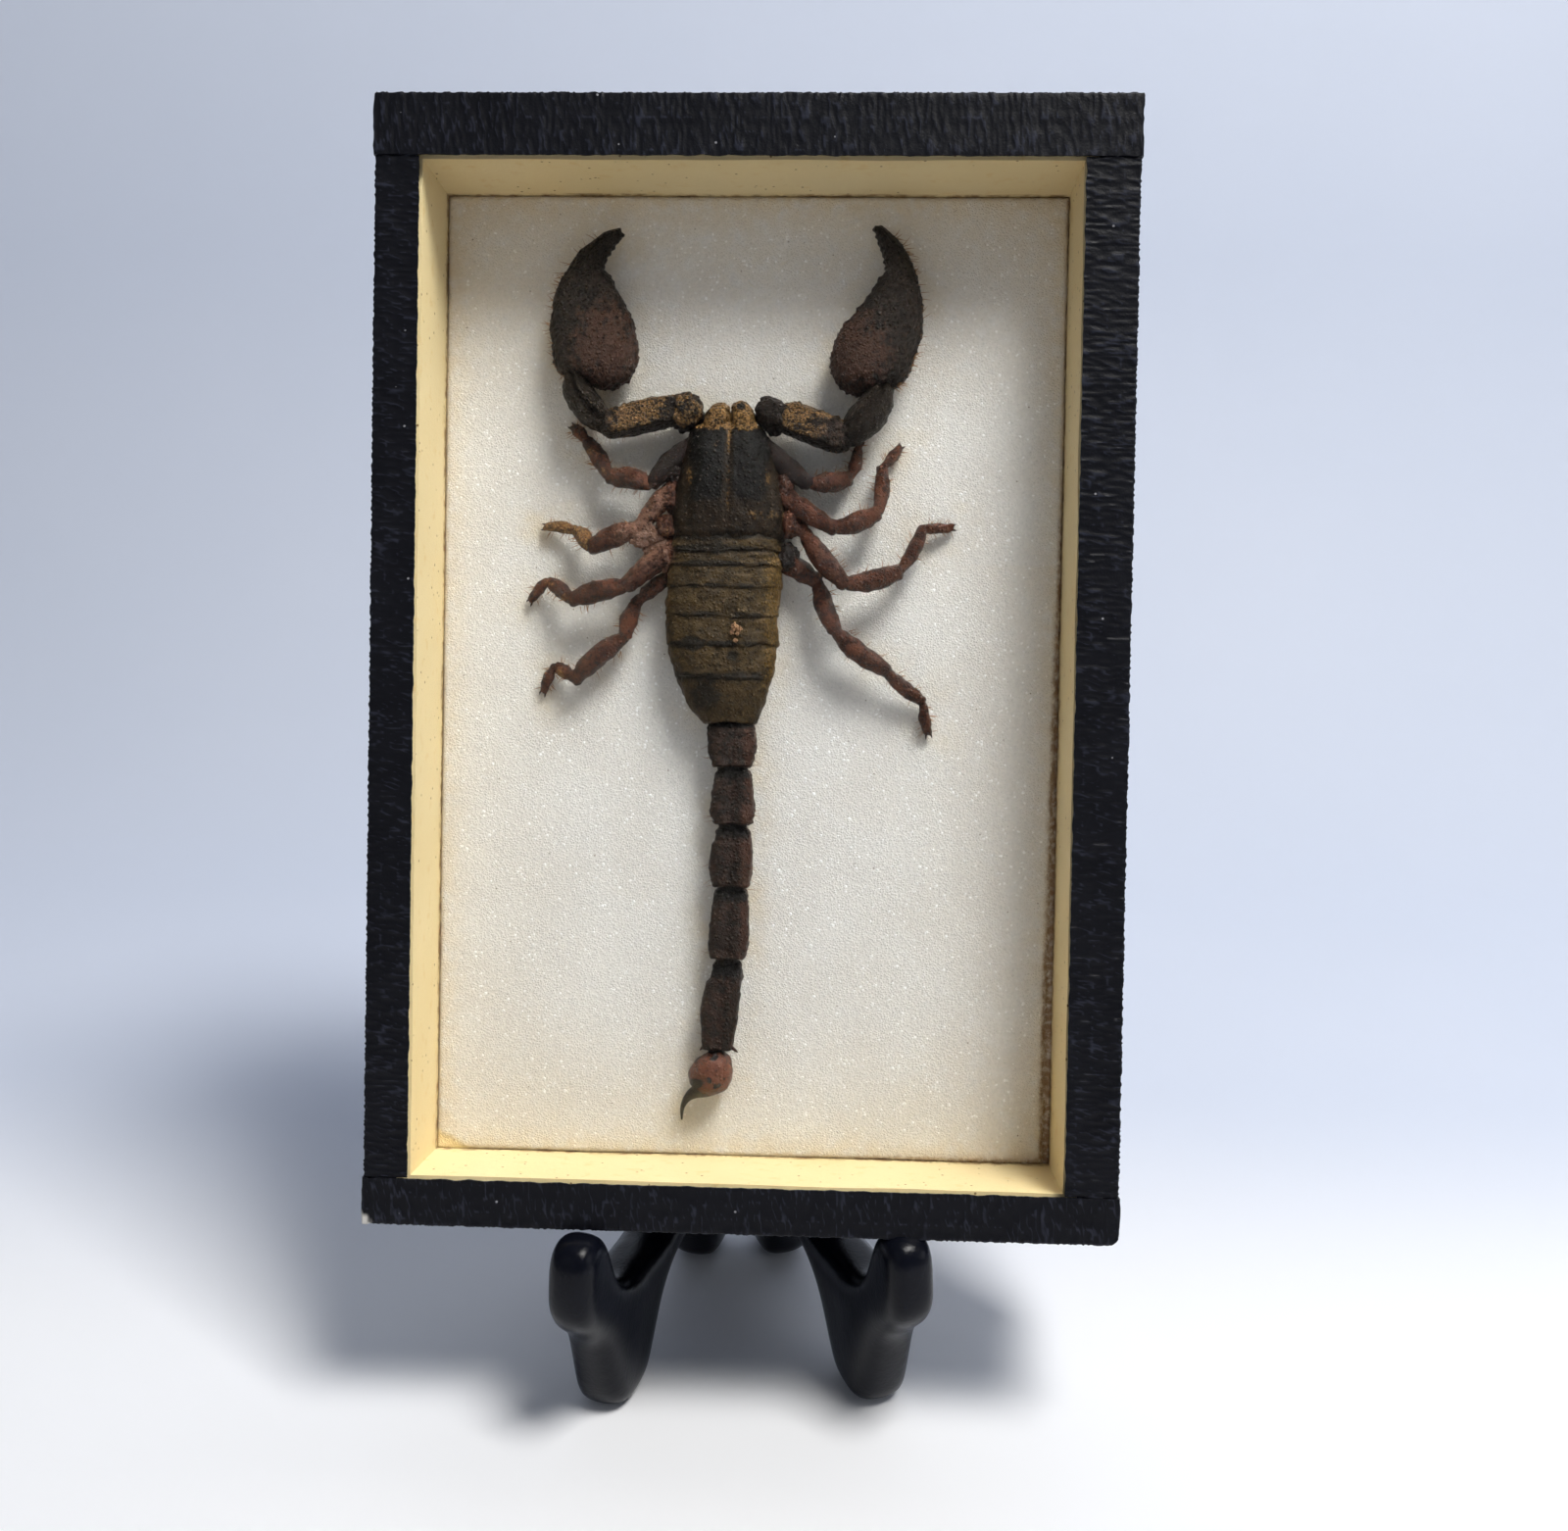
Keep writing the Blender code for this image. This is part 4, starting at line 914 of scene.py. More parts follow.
# %% Shield
SHIELD = (
    (45.5, -6.6, -3.2, 4.4), (45.1, -8.6, -1.2, 5.6), (44.2, -9.8, 0.0, 6.8), (43.2, -11.4, 1.7, 7.8),
    (40.5, -12.3, 2.8, 8.8), (37.4, -13.1, 3.7, 9.4), (31.4, -14.2, 5.1, 10.0), (26.5, -14.7, 5.7, 9.8),
    (23.9, -14.6, 5.6, 9.2), (23.2, -13.6, 4.6, 8.2),
)
BELLY = 0.9
TRUNK_SIDES = 112
MIDDLE_LINE = -4.35
EYES = ((-5.1, 33.3), (-3.6, 33.3))


def shield_relief(spot):
    off = spot.u - MIDDLE_LINE
    top = smoothstep(0.2, 0.8, spot.up)
    groove = -0.55 * bell(off, 0.42) * smoothstep(45.0, 43.0, spot.v)
    lobes = 0.40 * bell(abs(off) - 4.0, 2.4) * bell(spot.v - 36.5, 6.0)
    furrow = -0.35 * bell(abs(off) - 1.6 - 0.55 * (31.5 - spot.v), 0.55) * smoothstep(32.0, 30.0, spot.v)
    rim = 0.14 * bell(spot.v - 24.6, 0.35)
    eyes = sum(0.5 * spot.near(u, v, 0.55) for u, v in EYES)
    sunken = -0.30 * bell(abs(off) - 7.4, 1.0) * bell(spot.v - 30.0, 6.0)
    grains = 0.20 * spot.beads(1.1) + 0.22 * spot.grain(2.0) + 0.10 * spot.grain(0.7)
    return top * (groove + lobes + furrow + rim + eyes + sunken) + grains


def shield_marks(spot):
    off = abs(spot.u - MIDDLE_LINE)
    lobes = bell(max(0.0, abs(off - 3.9) - 1.7), 1.8) * smoothstep(27.0, 33.0, spot.v) * smoothstep(44.4,
                                                                                                    42.2,
                                                                                                    spot.v)
    smoky = 0.34 * smoothstep(24.0, 27.0, spot.v) * smoothstep(44.0, 42.0, spot.v)
    line = 0.50 * bell(off, 0.6) * smoothstep(25.0, 30.0, spot.v)
    front = 0.72 * smoothstep(41.8, 44.0, spot.v)
    cheeks = 0.50 * bell(off - 6.9, 1.2) * bell(spot.v - 34.5, 3.0) + 0.35 * bell(off - 2.3,
                                                                                  0.8) * bell(spot.v - 39.5,
                                                                                              2.2)
    band = 0.46 * bell(spot.v - 27.6, 1.3) * smoothstep(1.0, 4.5, spot.u - MIDDLE_LINE)
    eye = max(spot.near(u, v, 0.45) for u, v in EYES)
    return {"dark": max(0.95 * lobes, smoky, eye), "gold": (line + front + cheeks + band) * (1 - eye),
            "red": 0.5 * front, "gloss": 0.2 * lobes + eye}


rows = flow([level_cut(v, left, right, BELLY, top) for v, left, right, top in SHIELD], 8)
shield = work(loft(rows, TRUNK_SIDES, blunt), shield_relief, shield_marks)
finish("shield", shield, TRUNK_SHELL, stands_for=["scorpion_body"], matrix=BED)

# %% Back plates
PLATE_LINES = (23.9, 21.5, 18.9, 15.0, 9.9, 4.8, -0.9, -8.6)
TRUNK_EDGES = (
    (24.0, -14.9, 5.4, 9.2), (16.5, -15.4, 5.1, 9.6), (9.0, -15.7, 4.8, 9.6), (3.0, -14.9, 4.6, 9.2),
    (-2.2, -13.2, 3.6, 8.6), (-6.0, -11.3, 2.2, 7.8), (-8.6, -8.8, 0.9, 6.8),
)
PLATE_TUCK = 0.9        # how far a plate runs on under the one in front


def between(table, v):
    """Values of the rows (v, ...) of a table, read between its rows."""
    keys = [row[0] for row in reversed(table)]
    return [float(np.interp(v, keys, column)) for column in zip(*(row[1:] for row in reversed(table)))]


def plate_rows(front, rear):
    """One plate: tucked in at the front, proud at the rear edge, and closed under it."""
    length = front - rear
    places = [(front + PLATE_TUCK, 1.1), (front + 0.35, 0.45), (front, 0.22)]
    places += [(front - part * length, 0.20 - 0.20 * part) for part in (0.12, 0.3, 0.5, 0.7, 0.86)]
    places += [(rear + 0.30, -0.03), (rear + 0.05, 0.06), (rear - 0.12, 0.30), (rear - 0.15, 0.9)]
    rows = []
    for v, shrink in places:
        left, right, top = between(TRUNK_EDGES, v)
        rows.append(level_cut(v, left + shrink, right - shrink, BELLY + shrink, top - shrink))
    return rows


def plate_relief(spot):
    top = smoothstep(0.0, 0.5, spot.up)
    wrinkles = noise.noise(Vector((spot.u / 3.2, spot.v / 0.8, 3.0)))
    ridges = sum(0.10 * bell(spot.u - u - 0.02 * spot.v, 0.5) for u in (-7.4, -1.6))
    buckle = 0.42 * spot.grain(3.6) + 0.24 * spot.grain(1.3, 9.0)
    return top * (0.15 * wrinkles + ridges) + buckle + 0.10 * spot.beads(0.9)


def plate_marks(spot):
    seam = max(bell(spot.v - line + 0.10, 0.55 if line > 14 else 0.75) for line in PLATE_LINES[:-1])
    right_side = smoothstep(-0.5, 4.6, spot.u) * smoothstep(22.0, 19.0, spot.v) * smoothstep(-7.0, -2.0,
                                                                                             spot.v)
    rims = bell(abs(spot.u + 5.1) - 10.0, 1.1)
    smudge = 0.7 * spot.near(-3.0, 2.6, 1.3) + 0.6 * spot.near(-10.5, 5.0, 2.0) + 0.5 * spot.near(-8.0, -4.5,
                                                                                                  2.2)
    front = 0.55 * smoothstep(16.0, 22.5, spot.v) * bell(spot.u + 8.0, 6.0) + 0.36 * smoothstep(6.0, -5.0,
                                                                                                spot.v)
    olive = 0.72 * right_side + 0.45 * rims + 0.25 * max(0.0, spot.grain(4.5, 2.0))
    return {"dark": 0.74 * seam * (0.85 + 0.9 * spot.grain(2.5)) + smudge + front, "gold": olive,
            "red": 0.2 + 0.2 * rims, "film": 0.7 * spot.near(-15.5, 20.5, 2.2)}


OLIVE = (0.118, 0.068, 0.0185)
BACK_SHELL = dried_shell("back_shell", (0.062, 0.039, 0.0155), (0.026, 0.0170, 0.0080),
                         (0.0100, 0.0072, 0.0046),
                         (0.070, 0.034, 0.015), 0.8, gold=OLIVE, shine=0.14)


def bow(bm):
    """The plates' edges are not straight: they bow backwards and wander a little."""
    for vert in bm.verts:
        off = (vert.co.x - MIDDLE_LINE) / 10
        wander = 0.55 * noise.noise(Vector((vert.co.x / 3.5, vert.co.z / 6.0, 4.0)))
        vert.co.z += (wander - 0.5 * (1 - off * off)) * smoothstep(25.0, 22.0, vert.co.z)
    return bm


plates = [work(bow(loft(flow(plate_rows(front, rear), 3), TRUNK_SIDES, blunt)), plate_relief, plate_marks)
          for front, rear in zip(PLATE_LINES, PLATE_LINES[1:])]
finish("back_plates", join(plates), BACK_SHELL, stands_for=["scorpion_body"], matrix=BED)

# %% [markdown]
# ## Mouth claws
# Two short golden lobes stand out in front of the shield; the right one has a small dark finger.

# %% Mouth claws
LOBES = (((41.5, -9.6, -4.5), (44.4, -9.2, -4.45), (46.0, -8.7, -4.5), (47.0, -8.0, -4.7), (47.6, -7.1, -5.2),
          (47.9, -6.4, -5.7)),
         ((41.5, -4.2, 0.8), (44.4, -4.3, 0.3), (46.2, -4.3, -0.3), (47.3, -4.1, -0.9), (48.0, -3.7, -1.6),
          (48.3, -3.1, -2.3)))
LOBE_HEIGHTS = ((2.6, 8.0), (2.6, 8.2), (2.8, 7.9), (3.2, 7.2), (3.9, 6.3), (4.7, 5.5))


def lobe_relief(spot):
    return 0.34 * spot.grain(1.3) + 0.16 * spot.grain(0.5)


def lobe_marks(spot):
    finger = spot.near(-2.4, 46.9, 0.75)
    return {"gold": 0.74 - 0.9 * finger, "dark": 0.9 * finger + 0.5 * bell(spot.turn, 0.5), "gloss": 0.3}


lobes = []
for edges_of_lobe in LOBES:
    rows = [level_cut(v, left, right, low, high)
            for (v, left, right), (low, high) in zip(edges_of_lobe, LOBE_HEIGHTS)]
    lobes.append(work(loft(flow(rows, 7), 48, blunt), lobe_relief, lobe_marks))
finish("mouth_claws", join(lobes), TRUNK_SHELL, stands_for=["scorpion_body"], matrix=BED)

# %% [markdown]
# ## Tail and sting
# Five segments, each with four keels that end in rows of small teeth, so that its outline
# is finely serrated. A dark hollow in front of each segment lets the tail bend. The last
# ring carries the round sting bulb and its thin black point.

# %% Tail segments
# Front, widest place and rear, each as v, left u, right u; then the top
TAIL_SEGMENTS = (
    ((-8.9, -8.0, 0.9), (-13.2, -7.9, 1.3), (-17.1, -7.0, 0.5), 6.8),
    ((-17.7, -6.5, 0.5), (-25.0, -7.2, 1.1), (-27.5, -6.6, 0.8), 6.9),
    ((-28.1, -6.2, 0.5), (-34.6, -7.3, 0.9), (-38.7, -6.7, 0.5), 6.8),
    ((-39.3, -6.4, 0.2), (-48.2, -7.1, 0.4), (-51.8, -6.9, 0.0), 6.6),
    ((-52.4, -6.5, -0.6), (-60.8, -8.3, -1.2), (-68.4, -7.9, -2.3), 6.3),
)
TAIL_LOW = 0.8
TOOTH_PITCH = 1.05
TAIL_SIDES = 64


def tail_rows(front, wide, rear, top):
    (v0, left0, right0), (v1, left1, right1), (v2, left2, right2) = front, wide, rear
    rows = []
    for part, inset, drop in ((-0.02, 1.5, 2.4), (0.02, 0.5, 1.3), (0.10, 0.12, 0.7), (0.20, 0.0, 0.35)):
        v = v0 + part * (v2 - v0)
        rows.append(level_cut(v, left0 + inset, right0 - inset, TAIL_LOW + 0.6 * inset, top - drop))
    rows.append(level_cut((v0 + v1) / 2, (left0 + left1) / 2, (right0 + right1) / 2, TAIL_LOW, top - 0.1))
    rows.append(level_cut(v1, left1, right1, TAIL_LOW, top))
    rows.append(level_cut((v1 + v2) / 2, (left1 + left2) / 2 - 0.05, (right1 + right2) / 2 + 0.05, TAIL_LOW,
                          top))
    for back, inset, drop in ((0.7, 0.0, 0.05), (0.25, 0.05, 0.1), (0.02, 0.45, 0.7), (-0.15, 1.6, 2.2)):
        rows.append(level_cut(v2 + back, left2 + inset, right2 - inset, TAIL_LOW + 0.6 * inset, top - drop))
    return rows


def tail_relief(spot):
    """Keels near the four corners, cut into teeth that lean backwards."""
    keel = max(bell(abs(spot.turn) - 0.62, 0.16), 0.8 * bell(abs(spot.turn) - 2.52, 0.16),
               0.9 * bell(abs(abs(spot.turn) - math.pi / 2) - math.pi / 2, 0.10))
    phase = (spot.v / TOOTH_PITCH) % 1.0
    teeth = keel * (0.10 + 0.26 * (1 - phase) * smoothstep(0.0, 0.15, phase))
    ends = smoothstep(0.0, 0.16, spot.way) * smoothstep(1.0, 0.86, spot.way)
    hollow = -0.35 * bell(spot.turn - math.pi / 2, 0.34) * smoothstep(0.1, 0.4, spot.way)
    return ends * (teeth + hollow) + 0.22 * spot.grain(1.5) + 0.12 * spot.grain(0.6) + 0.12 * spot.beads(0.9)


def tail_marks(spot):
    scoop = bell(spot.way - 0.14, 0.13) * smoothstep(0.0, 0.6, spot.up)
    right_side = smoothstep(-2.2, 0.6, spot.u) * (0.55 + 0.5 * spot.grain(3.0))
    # the dark mark holds dark joints and a dark band, and painted shade on the undersides that face down to
    # the foam
    return {"dark": 0.95 * scoop + 0.6 * smoothstep(0.88, 1.0, spot.way)
            + 0.8 * smoothstep(0.2, -0.6, spot.up)
                    + 0.4 * bell(spot.v + 48.0, 5.0),
            "red": right_side + 0.25, "gold": 0.25 * right_side, "gloss": 0.55 * scoop}


segments = [work(loft(flow(tail_rows(*segment), 6), TAIL_SIDES, keeled), tail_relief, tail_marks)
            for segment in TAIL_SEGMENTS]
finish("tail", join(segments), TAIL_SHELL, stands_for=["scorpion_body"], matrix=BED)

# %% Joint skins, between the segments
SKINS = (((-7.9, -5.9, -0.9), (-9.6, -6.2, -0.7), 5.4), ((-16.6, -5.9, -0.4), (-18.3, -5.6, -0.4), 5.5),
         ((-27.0, -5.5, -0.4), (-28.8, -5.4, -0.4), 5.6), ((-38.2, -5.5, -0.5), (-39.9, -5.4, -0.6), 5.5),
         ((-51.3, -5.7, -1.2), (-53.0, -5.6, -1.5), 5.3), ((-67.6, -6.8, -3.4), (-69.8, -6.5, -3.7), 4.9))
folds = []
for (v0, left0, right0), (v1, left1, right1), top in SKINS:
    rows = [level_cut(v0, left0, right0, 1.9, top), level_cut((v0 + v1) / 2, left0, right1, 1.8, top),
            level_cut(v1, left1, right1, 1.9, top)]
    folds.append(work(loft(flow(rows, 4), 32), lambda spot: 0.08 * spot.grain(0.6),
                      lambda spot: {"dark": 0.9}))
finish("joint_skins", join(folds), TAIL_SHELL, stands_for=["scorpion_body"], matrix=BED)

# %% Sting
STING = (
    ((-6.6, -68.8), (-3.7, -68.8), 2.4, 5.2), ((-8.3, -70.0), (-2.8, -69.8), 1.4, 6.4),
    ((-9.8, -71.6), (-2.3, -71.3), 0.8, 7.2), ((-10.4, -73.4), (-2.3, -73.5), 0.6, 7.2),
    ((-9.9, -74.8), (-3.2, -75.6), 1.0, 6.6), ((-9.6, -75.3), (-6.0, -77.0), 2.2, 5.4),
    ((-10.2, -75.9), (-8.4, -77.4), 2.9, 4.7), ((-10.9, -76.9), (-9.7, -77.9), 2.9, 4.3),
    ((-11.5, -78.3), (-10.6, -78.9), 2.6, 3.7), ((-11.8, -79.9), (-11.1, -80.1), 2.1, 3.0),
    ((-11.7, -81.9), (-11.4, -82.0), 1.5, 1.9),
)
BULB_END = 0.46         # part of the way along the sting where its bulb ends


def sting_relief(spot):
    bulb = smoothstep(BULB_END + 0.05, BULB_END - 0.1, spot.way)
    return bulb * (0.22 * spot.grain(1.7) + 0.10 * spot.grain(0.6) - 0.30 * spot.near(-7.6, -73.9, 0.8))


def sting_marks(spot):
    point = smoothstep(BULB_END - 0.04, BULB_END + 0.14, spot.way)
    spots = 1.3 * max(0.0, spot.grain(1.6)) + 0.5 * spot.near(-7.6, -73.9, 1.1) + 0.5 * bell(spot.way, 0.10)
    return {"dark": point + spots, "red": 0.75 - point, "gloss": 0.5 + 0.4 * point}


STING_SHELL = dried_shell("sting_shell", (0.072, 0.0215, 0.0110), (0.028, 0.0095, 0.0058),
                          (0.0060, 0.0045, 0.0040),
                          (0.098, 0.030, 0.015), 0.9, rough=(0.18, 0.36), bump=0.16, shine=0.45)
sting = work(loft(flow([cut(*row) for row in STING], 7), 48), sting_relief, sting_marks)
finish("sting", sting, STING_SHELL, stands_for=["scorpion_body"], matrix=BED)

# %% [markdown]
# ## Claw arms
# Each arm has four parts: a short ring at the mouth, an upper arm with a toothed edge and
# a flat dusty top, a glossy elbow with ridges, and the great claw. The claw's palm is
# domed and covered in small grains, reddish low down, and its two closed fingers are dark
# with a thin line between them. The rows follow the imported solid's sections.

# %% Sections of the arms
ARMS = {
    "left": {
        "ring": (((-9.6, 48.2), (-9.1, 44.9), 3.4, 6.4), ((-10.1, 48.5), (-9.5, 44.6), 2.8, 7.0),
                 ((-11.1, 49.3), (-10.9, 43.5), 2.2, 8.0), ((-12.9, 49.6), (-13.4, 42.9), 2.0, 8.6),
                 ((-14.2, 48.9), (-14.6, 43.9), 2.8, 8.0), ((-14.5, 47.8), (-14.8, 45.0), 4.0, 6.8)),
        "upper_arm": (((-13.2, 47.0), (-13.8, 44.6), 4.0, 6.8), ((-13.7, 48.0), (-14.5, 43.8), 3.0, 7.8),
                      ((-15.2, 48.9), (-16.2, 43.4), 2.4, 8.6), ((-19.6, 48.3), (-20.8, 42.3), 2.3, 8.8),
                      ((-24.2, 47.0), (-25.6, 41.5), 2.4, 8.6), ((-26.6, 46.0), (-27.4, 42.2), 3.1, 7.8),
                      ((-27.1, 45.2), (-27.6, 43.2), 4.2, 6.8)),
        "elbow": (((-26.2, 45.6), (-26.6, 43.4), 4.2, 6.8), ((-26.5, 46.6), (-27.1, 42.4), 3.2, 7.8),
                  ((-27.6, 48.3), (-30.4, 43.6), 2.4, 8.8), ((-29.2, 50.4), (-33.2, 46.6), 2.2, 9.0),
                  ((-30.2, 52.0), (-34.5, 49.8), 2.6, 8.6), ((-30.6, 53.0), (-34.2, 52.0), 3.4, 7.8),
                  ((-31.2, 53.4), (-33.4, 52.9), 4.4, 6.8)),
        "claw": (((-27.9, 50.5), (-25.6, 50.4), 4.2, 5.8), ((-28.6, 50.9), (-24.8, 50.8), 3.2, 6.6),
                 ((-32.4, 52.0), (-23.0, 52.0), 1.8, 8.6), ((-35.6, 53.2), (-22.0, 53.8), 1.3, 9.3),
                 ((-36.5, 56.4), (-21.3, 56.6), 1.1, 9.6), ((-37.0, 61.1), (-22.0, 61.2), 1.1, 9.4),
                 ((-36.6, 65.4), (-23.6, 65.0), 1.3, 8.8), ((-35.5, 69.0), (-25.8, 68.8), 1.6, 8.0),
                 ((-34.3, 71.6), (-27.4, 71.2), 2.0, 7.2), ((-33.0, 73.6), (-27.5, 72.7), 2.2, 6.8),
                 ((-31.1, 75.8), (-26.8, 74.3), 2.4, 6.4), ((-28.4, 77.8), (-25.8, 76.3), 2.7, 5.8),
                 ((-26.4, 78.6), (-25.0, 77.3), 3.1, 5.3), ((-25.0, 78.7), (-24.5, 78.1), 3.6, 4.6)),
    },
    "right": {
        "ring": (((0.1, 44.9), (0.5, 48.2), 3.4, 6.4), ((0.5, 44.6), (0.9, 48.4), 2.8, 7.0),
                 ((1.6, 43.4), (1.7, 48.9), 2.2, 8.0), ((3.4, 42.3), (3.8, 48.6), 2.0, 8.6),
                 ((4.7, 43.0), (5.2, 47.6), 2.8, 8.0), ((5.1, 44.2), (5.4, 46.8), 4.0, 6.8)),
        "upper_arm": (((4.0, 44.3), (4.5, 46.6), 4.0, 6.8), ((4.5, 43.4), (5.1, 47.4), 3.0, 7.8),
                      ((5.7, 42.4), (7.0, 47.9), 2.4, 8.6), ((9.4, 40.9), (11.0, 46.7), 2.3, 8.8),
                      ((13.8, 39.4), (15.6, 44.8), 2.4, 8.6), ((16.4, 39.6), (17.4, 43.2), 3.1, 7.8),
                      ((17.1, 40.4), (17.6, 42.4), 4.2, 6.8)),
        "elbow": (((15.5, 41.4), (15.4, 43.6), 4.2, 6.8), ((15.8, 40.6), (15.6, 44.4), 3.4, 7.8),
                  ((18.4, 40.8), (16.4, 46.2), 2.7, 8.8), ((22.6, 43.8), (17.8, 48.0), 2.6, 9.0),
                  ((24.3, 47.4), (19.6, 50.2), 2.7, 8.6), ((24.4, 50.2), (21.0, 51.4), 3.4, 7.8),
                  ((24.0, 51.4), (22.0, 52.0), 4.4, 6.8)),
        "claw": (((17.9, 49.4), (20.0, 49.5), 4.2, 5.8), ((17.0, 49.8), (20.8, 50.0), 3.2, 6.6),
                 ((15.0, 51.2), (24.6, 51.2), 1.8, 8.6), ((13.9, 53.0), (26.6, 52.6), 1.3, 9.3),
                 ((13.3, 56.2), (28.2, 56.2), 1.1, 9.6), ((14.9, 60.7), (29.3, 60.9), 1.1, 9.4),
                 ((17.9, 64.6), (29.4, 65.2), 1.3, 8.8), ((20.6, 68.0), (28.8, 68.8), 1.6, 8.0),
                 ((22.5, 71.0), (27.8, 72.0), 2.0, 7.2), ((22.8, 72.9), (27.0, 74.2), 2.2, 6.8),
                 ((22.2, 75.2), (25.4, 76.6), 2.4, 6.4), ((21.5, 77.0), (23.6, 78.4), 2.7, 5.8),
                 ((20.9, 78.4), (22.0, 79.4), 3.1, 5.3), ((20.5, 79.2), (20.9, 79.6), 3.6, 4.6)),
    },
}


# %% Relief and marks of the arm parts
def outer_turn(spot, side):
    """The turn, counted from the arm's upper or outer edge in both arms alike."""
    return math.pi - abs(spot.turn) if side == "left" else abs(spot.turn)


def ring_relief(spot, side):
    return 0.65 * spot.grain(1.2) + 0.25 * spot.grain(0.5) + 0.35 * spot.beads(1.1)


def upper_arm_relief(spot, side):
    edge = bell(outer_turn(spot, side) - 0.18, 0.22)
    teeth = 0.75 * edge * spot.beads(1.3)
    ridge = 0.30 * bell(abs(spot.turn - math.pi / 2) - 0.75, 0.18) * smoothstep(0.2, 0.7, spot.up)
    pits = -0.12 * spot.beads(0.7) * smoothstep(0.5, 0.9, spot.up)
    return teeth + ridge + pits + 0.24 * spot.grain(1.1) + 0.14 * spot.grain(0.5)


def elbow_relief(spot, side):
    ridges = 0.48 * bell(spot.turn - 1.1, 0.14) + 0.52 * bell(spot.turn - 1.85,
                                                              0.14) - 0.40 * bell(spot.turn - 1.48, 0.2)
    teeth = 0.25 * bell(outer_turn(spot, side) - 2.9, 0.25) * spot.beads(1.2)
    return ridges * smoothstep(0.1, 0.3, spot.way) + teeth + 0.22 * spot.grain(1.1) + 0.10 * spot.grain(0.5)


FINGER_START = 0.60     # part of the way along a claw where its fingers begin


def claw_relief(spot, side):
    finger = smoothstep(FINGER_START - 0.06, FINGER_START + 0.06, spot.way)
    seam = -0.34 * bell(spot.turn - (1.75 if side == "left" else 1.40), 0.10) * finger
    inner = math.pi - outer_turn(spot, side)
    step = 0.45 * bell(inner, 0.7) * bell(spot.way - FINGER_START + 0.02, 0.035)
    keel = 0.30 * bell(outer_turn(spot, side) - 0.62, 0.16) * smoothstep(0.1, 0.3,
                                                                         spot.way) * (1 - 0.6 * finger)
    grains = (0.46 * spot.beads(0.9) + 0.20 * spot.grain(0.6)) * (1 - 0.6 * finger)
    bites = 0.16 * bell(inner, 0.4) * finger * math.sin(spot.v * 5.5)
    return seam + step + keel + grains + bites + 0.30 * spot.grain(2.6)


def ring_marks(spot, side):
    return {"gold": (0.52 if side == "left" else 0.18) * smoothstep(0.0, 0.6, spot.up),
            "dark": 0.4 * (1 - spot.up),
            "red": 0.2}


def upper_arm_marks(spot, side):
    top = smoothstep(0.30, 0.85, spot.up)
    dusty = top * bell(spot.way - (0.52 if side == "left" else 0.36), 0.26)
    edge = 0.6 * bell(outer_turn(spot, side) - 0.45, 0.35)
    return {"gold": 0.72 * dusty + edge, "dark": (1 - top) + 0.45 * bell(spot.way - 0.1, 0.15),
            "film": 0.30 * top * bell(spot.way - 0.6, 0.3), "red": 0.8 * smoothstep(0.88, 1.0, spot.way),
            "gloss": 0.5 * (1 - top)}


def elbow_marks(spot, side):
    ends = smoothstep(0.22, 0.08, spot.way)
    return {"dark": 0.95 - 0.8 * ends, "red": 0.9 * ends, "gold": 0.4 * ends, "gloss": 0.9}


PALM_RED = {"left": (-26.3, 56.4), "right": (17.4, 56.0)}


def claw_marks(spot, side):
    u, v = PALM_RED[side]
    palm = 0.85 * bell(math.hypot(spot.u - u, (spot.v - v) * 0.75), 7.4)
    finger = smoothstep(FINGER_START - 0.08, FINGER_START + 0.05, spot.way)
    outer = bell(outer_turn(spot, side), 1.0)
    rim = 0.35 * bell(math.pi - outer_turn(spot, side), 0.5) * (1 - finger)
    return {"red": palm * (1 - finger), "dark": 0.7 * finger + 0.30 * outer,
            "gold": rim * bell(spot.v - 60.0, 4.0),
            "gloss": 0.25 * finger + 0.1}


ARM_PARTS = {"ring": (ring_relief, ring_marks, 48, 7, oval),
             "upper_arm": (upper_arm_relief, upper_arm_marks, 64, 9, blunt),
             "elbow": (elbow_relief, elbow_marks, 64, 9, blunt),
             "claw": (claw_relief, claw_marks, 88, 9, oval)}
for side, sections in ARMS.items():
    for part, (relief, marks, sides, steps, outline) in ARM_PARTS.items():
        bm = loft(flow([cut(*row) for row in sections[part]], steps), sides, outline)
        work(bm, lambda spot: relief(spot, side), lambda spot: marks(spot, side))
        finish(f"{part}_{side}", bm, CLAW_SHELL, stands_for=[f"scorpion_arm_{side}"],
               matrix=BED)

# %% [markdown]
# ## Walking legs
# A leg is a chain of swollen segments with narrow joints. Each segment is its own closed
# loft that plugs into the next one, and the last one carries two small hooks.

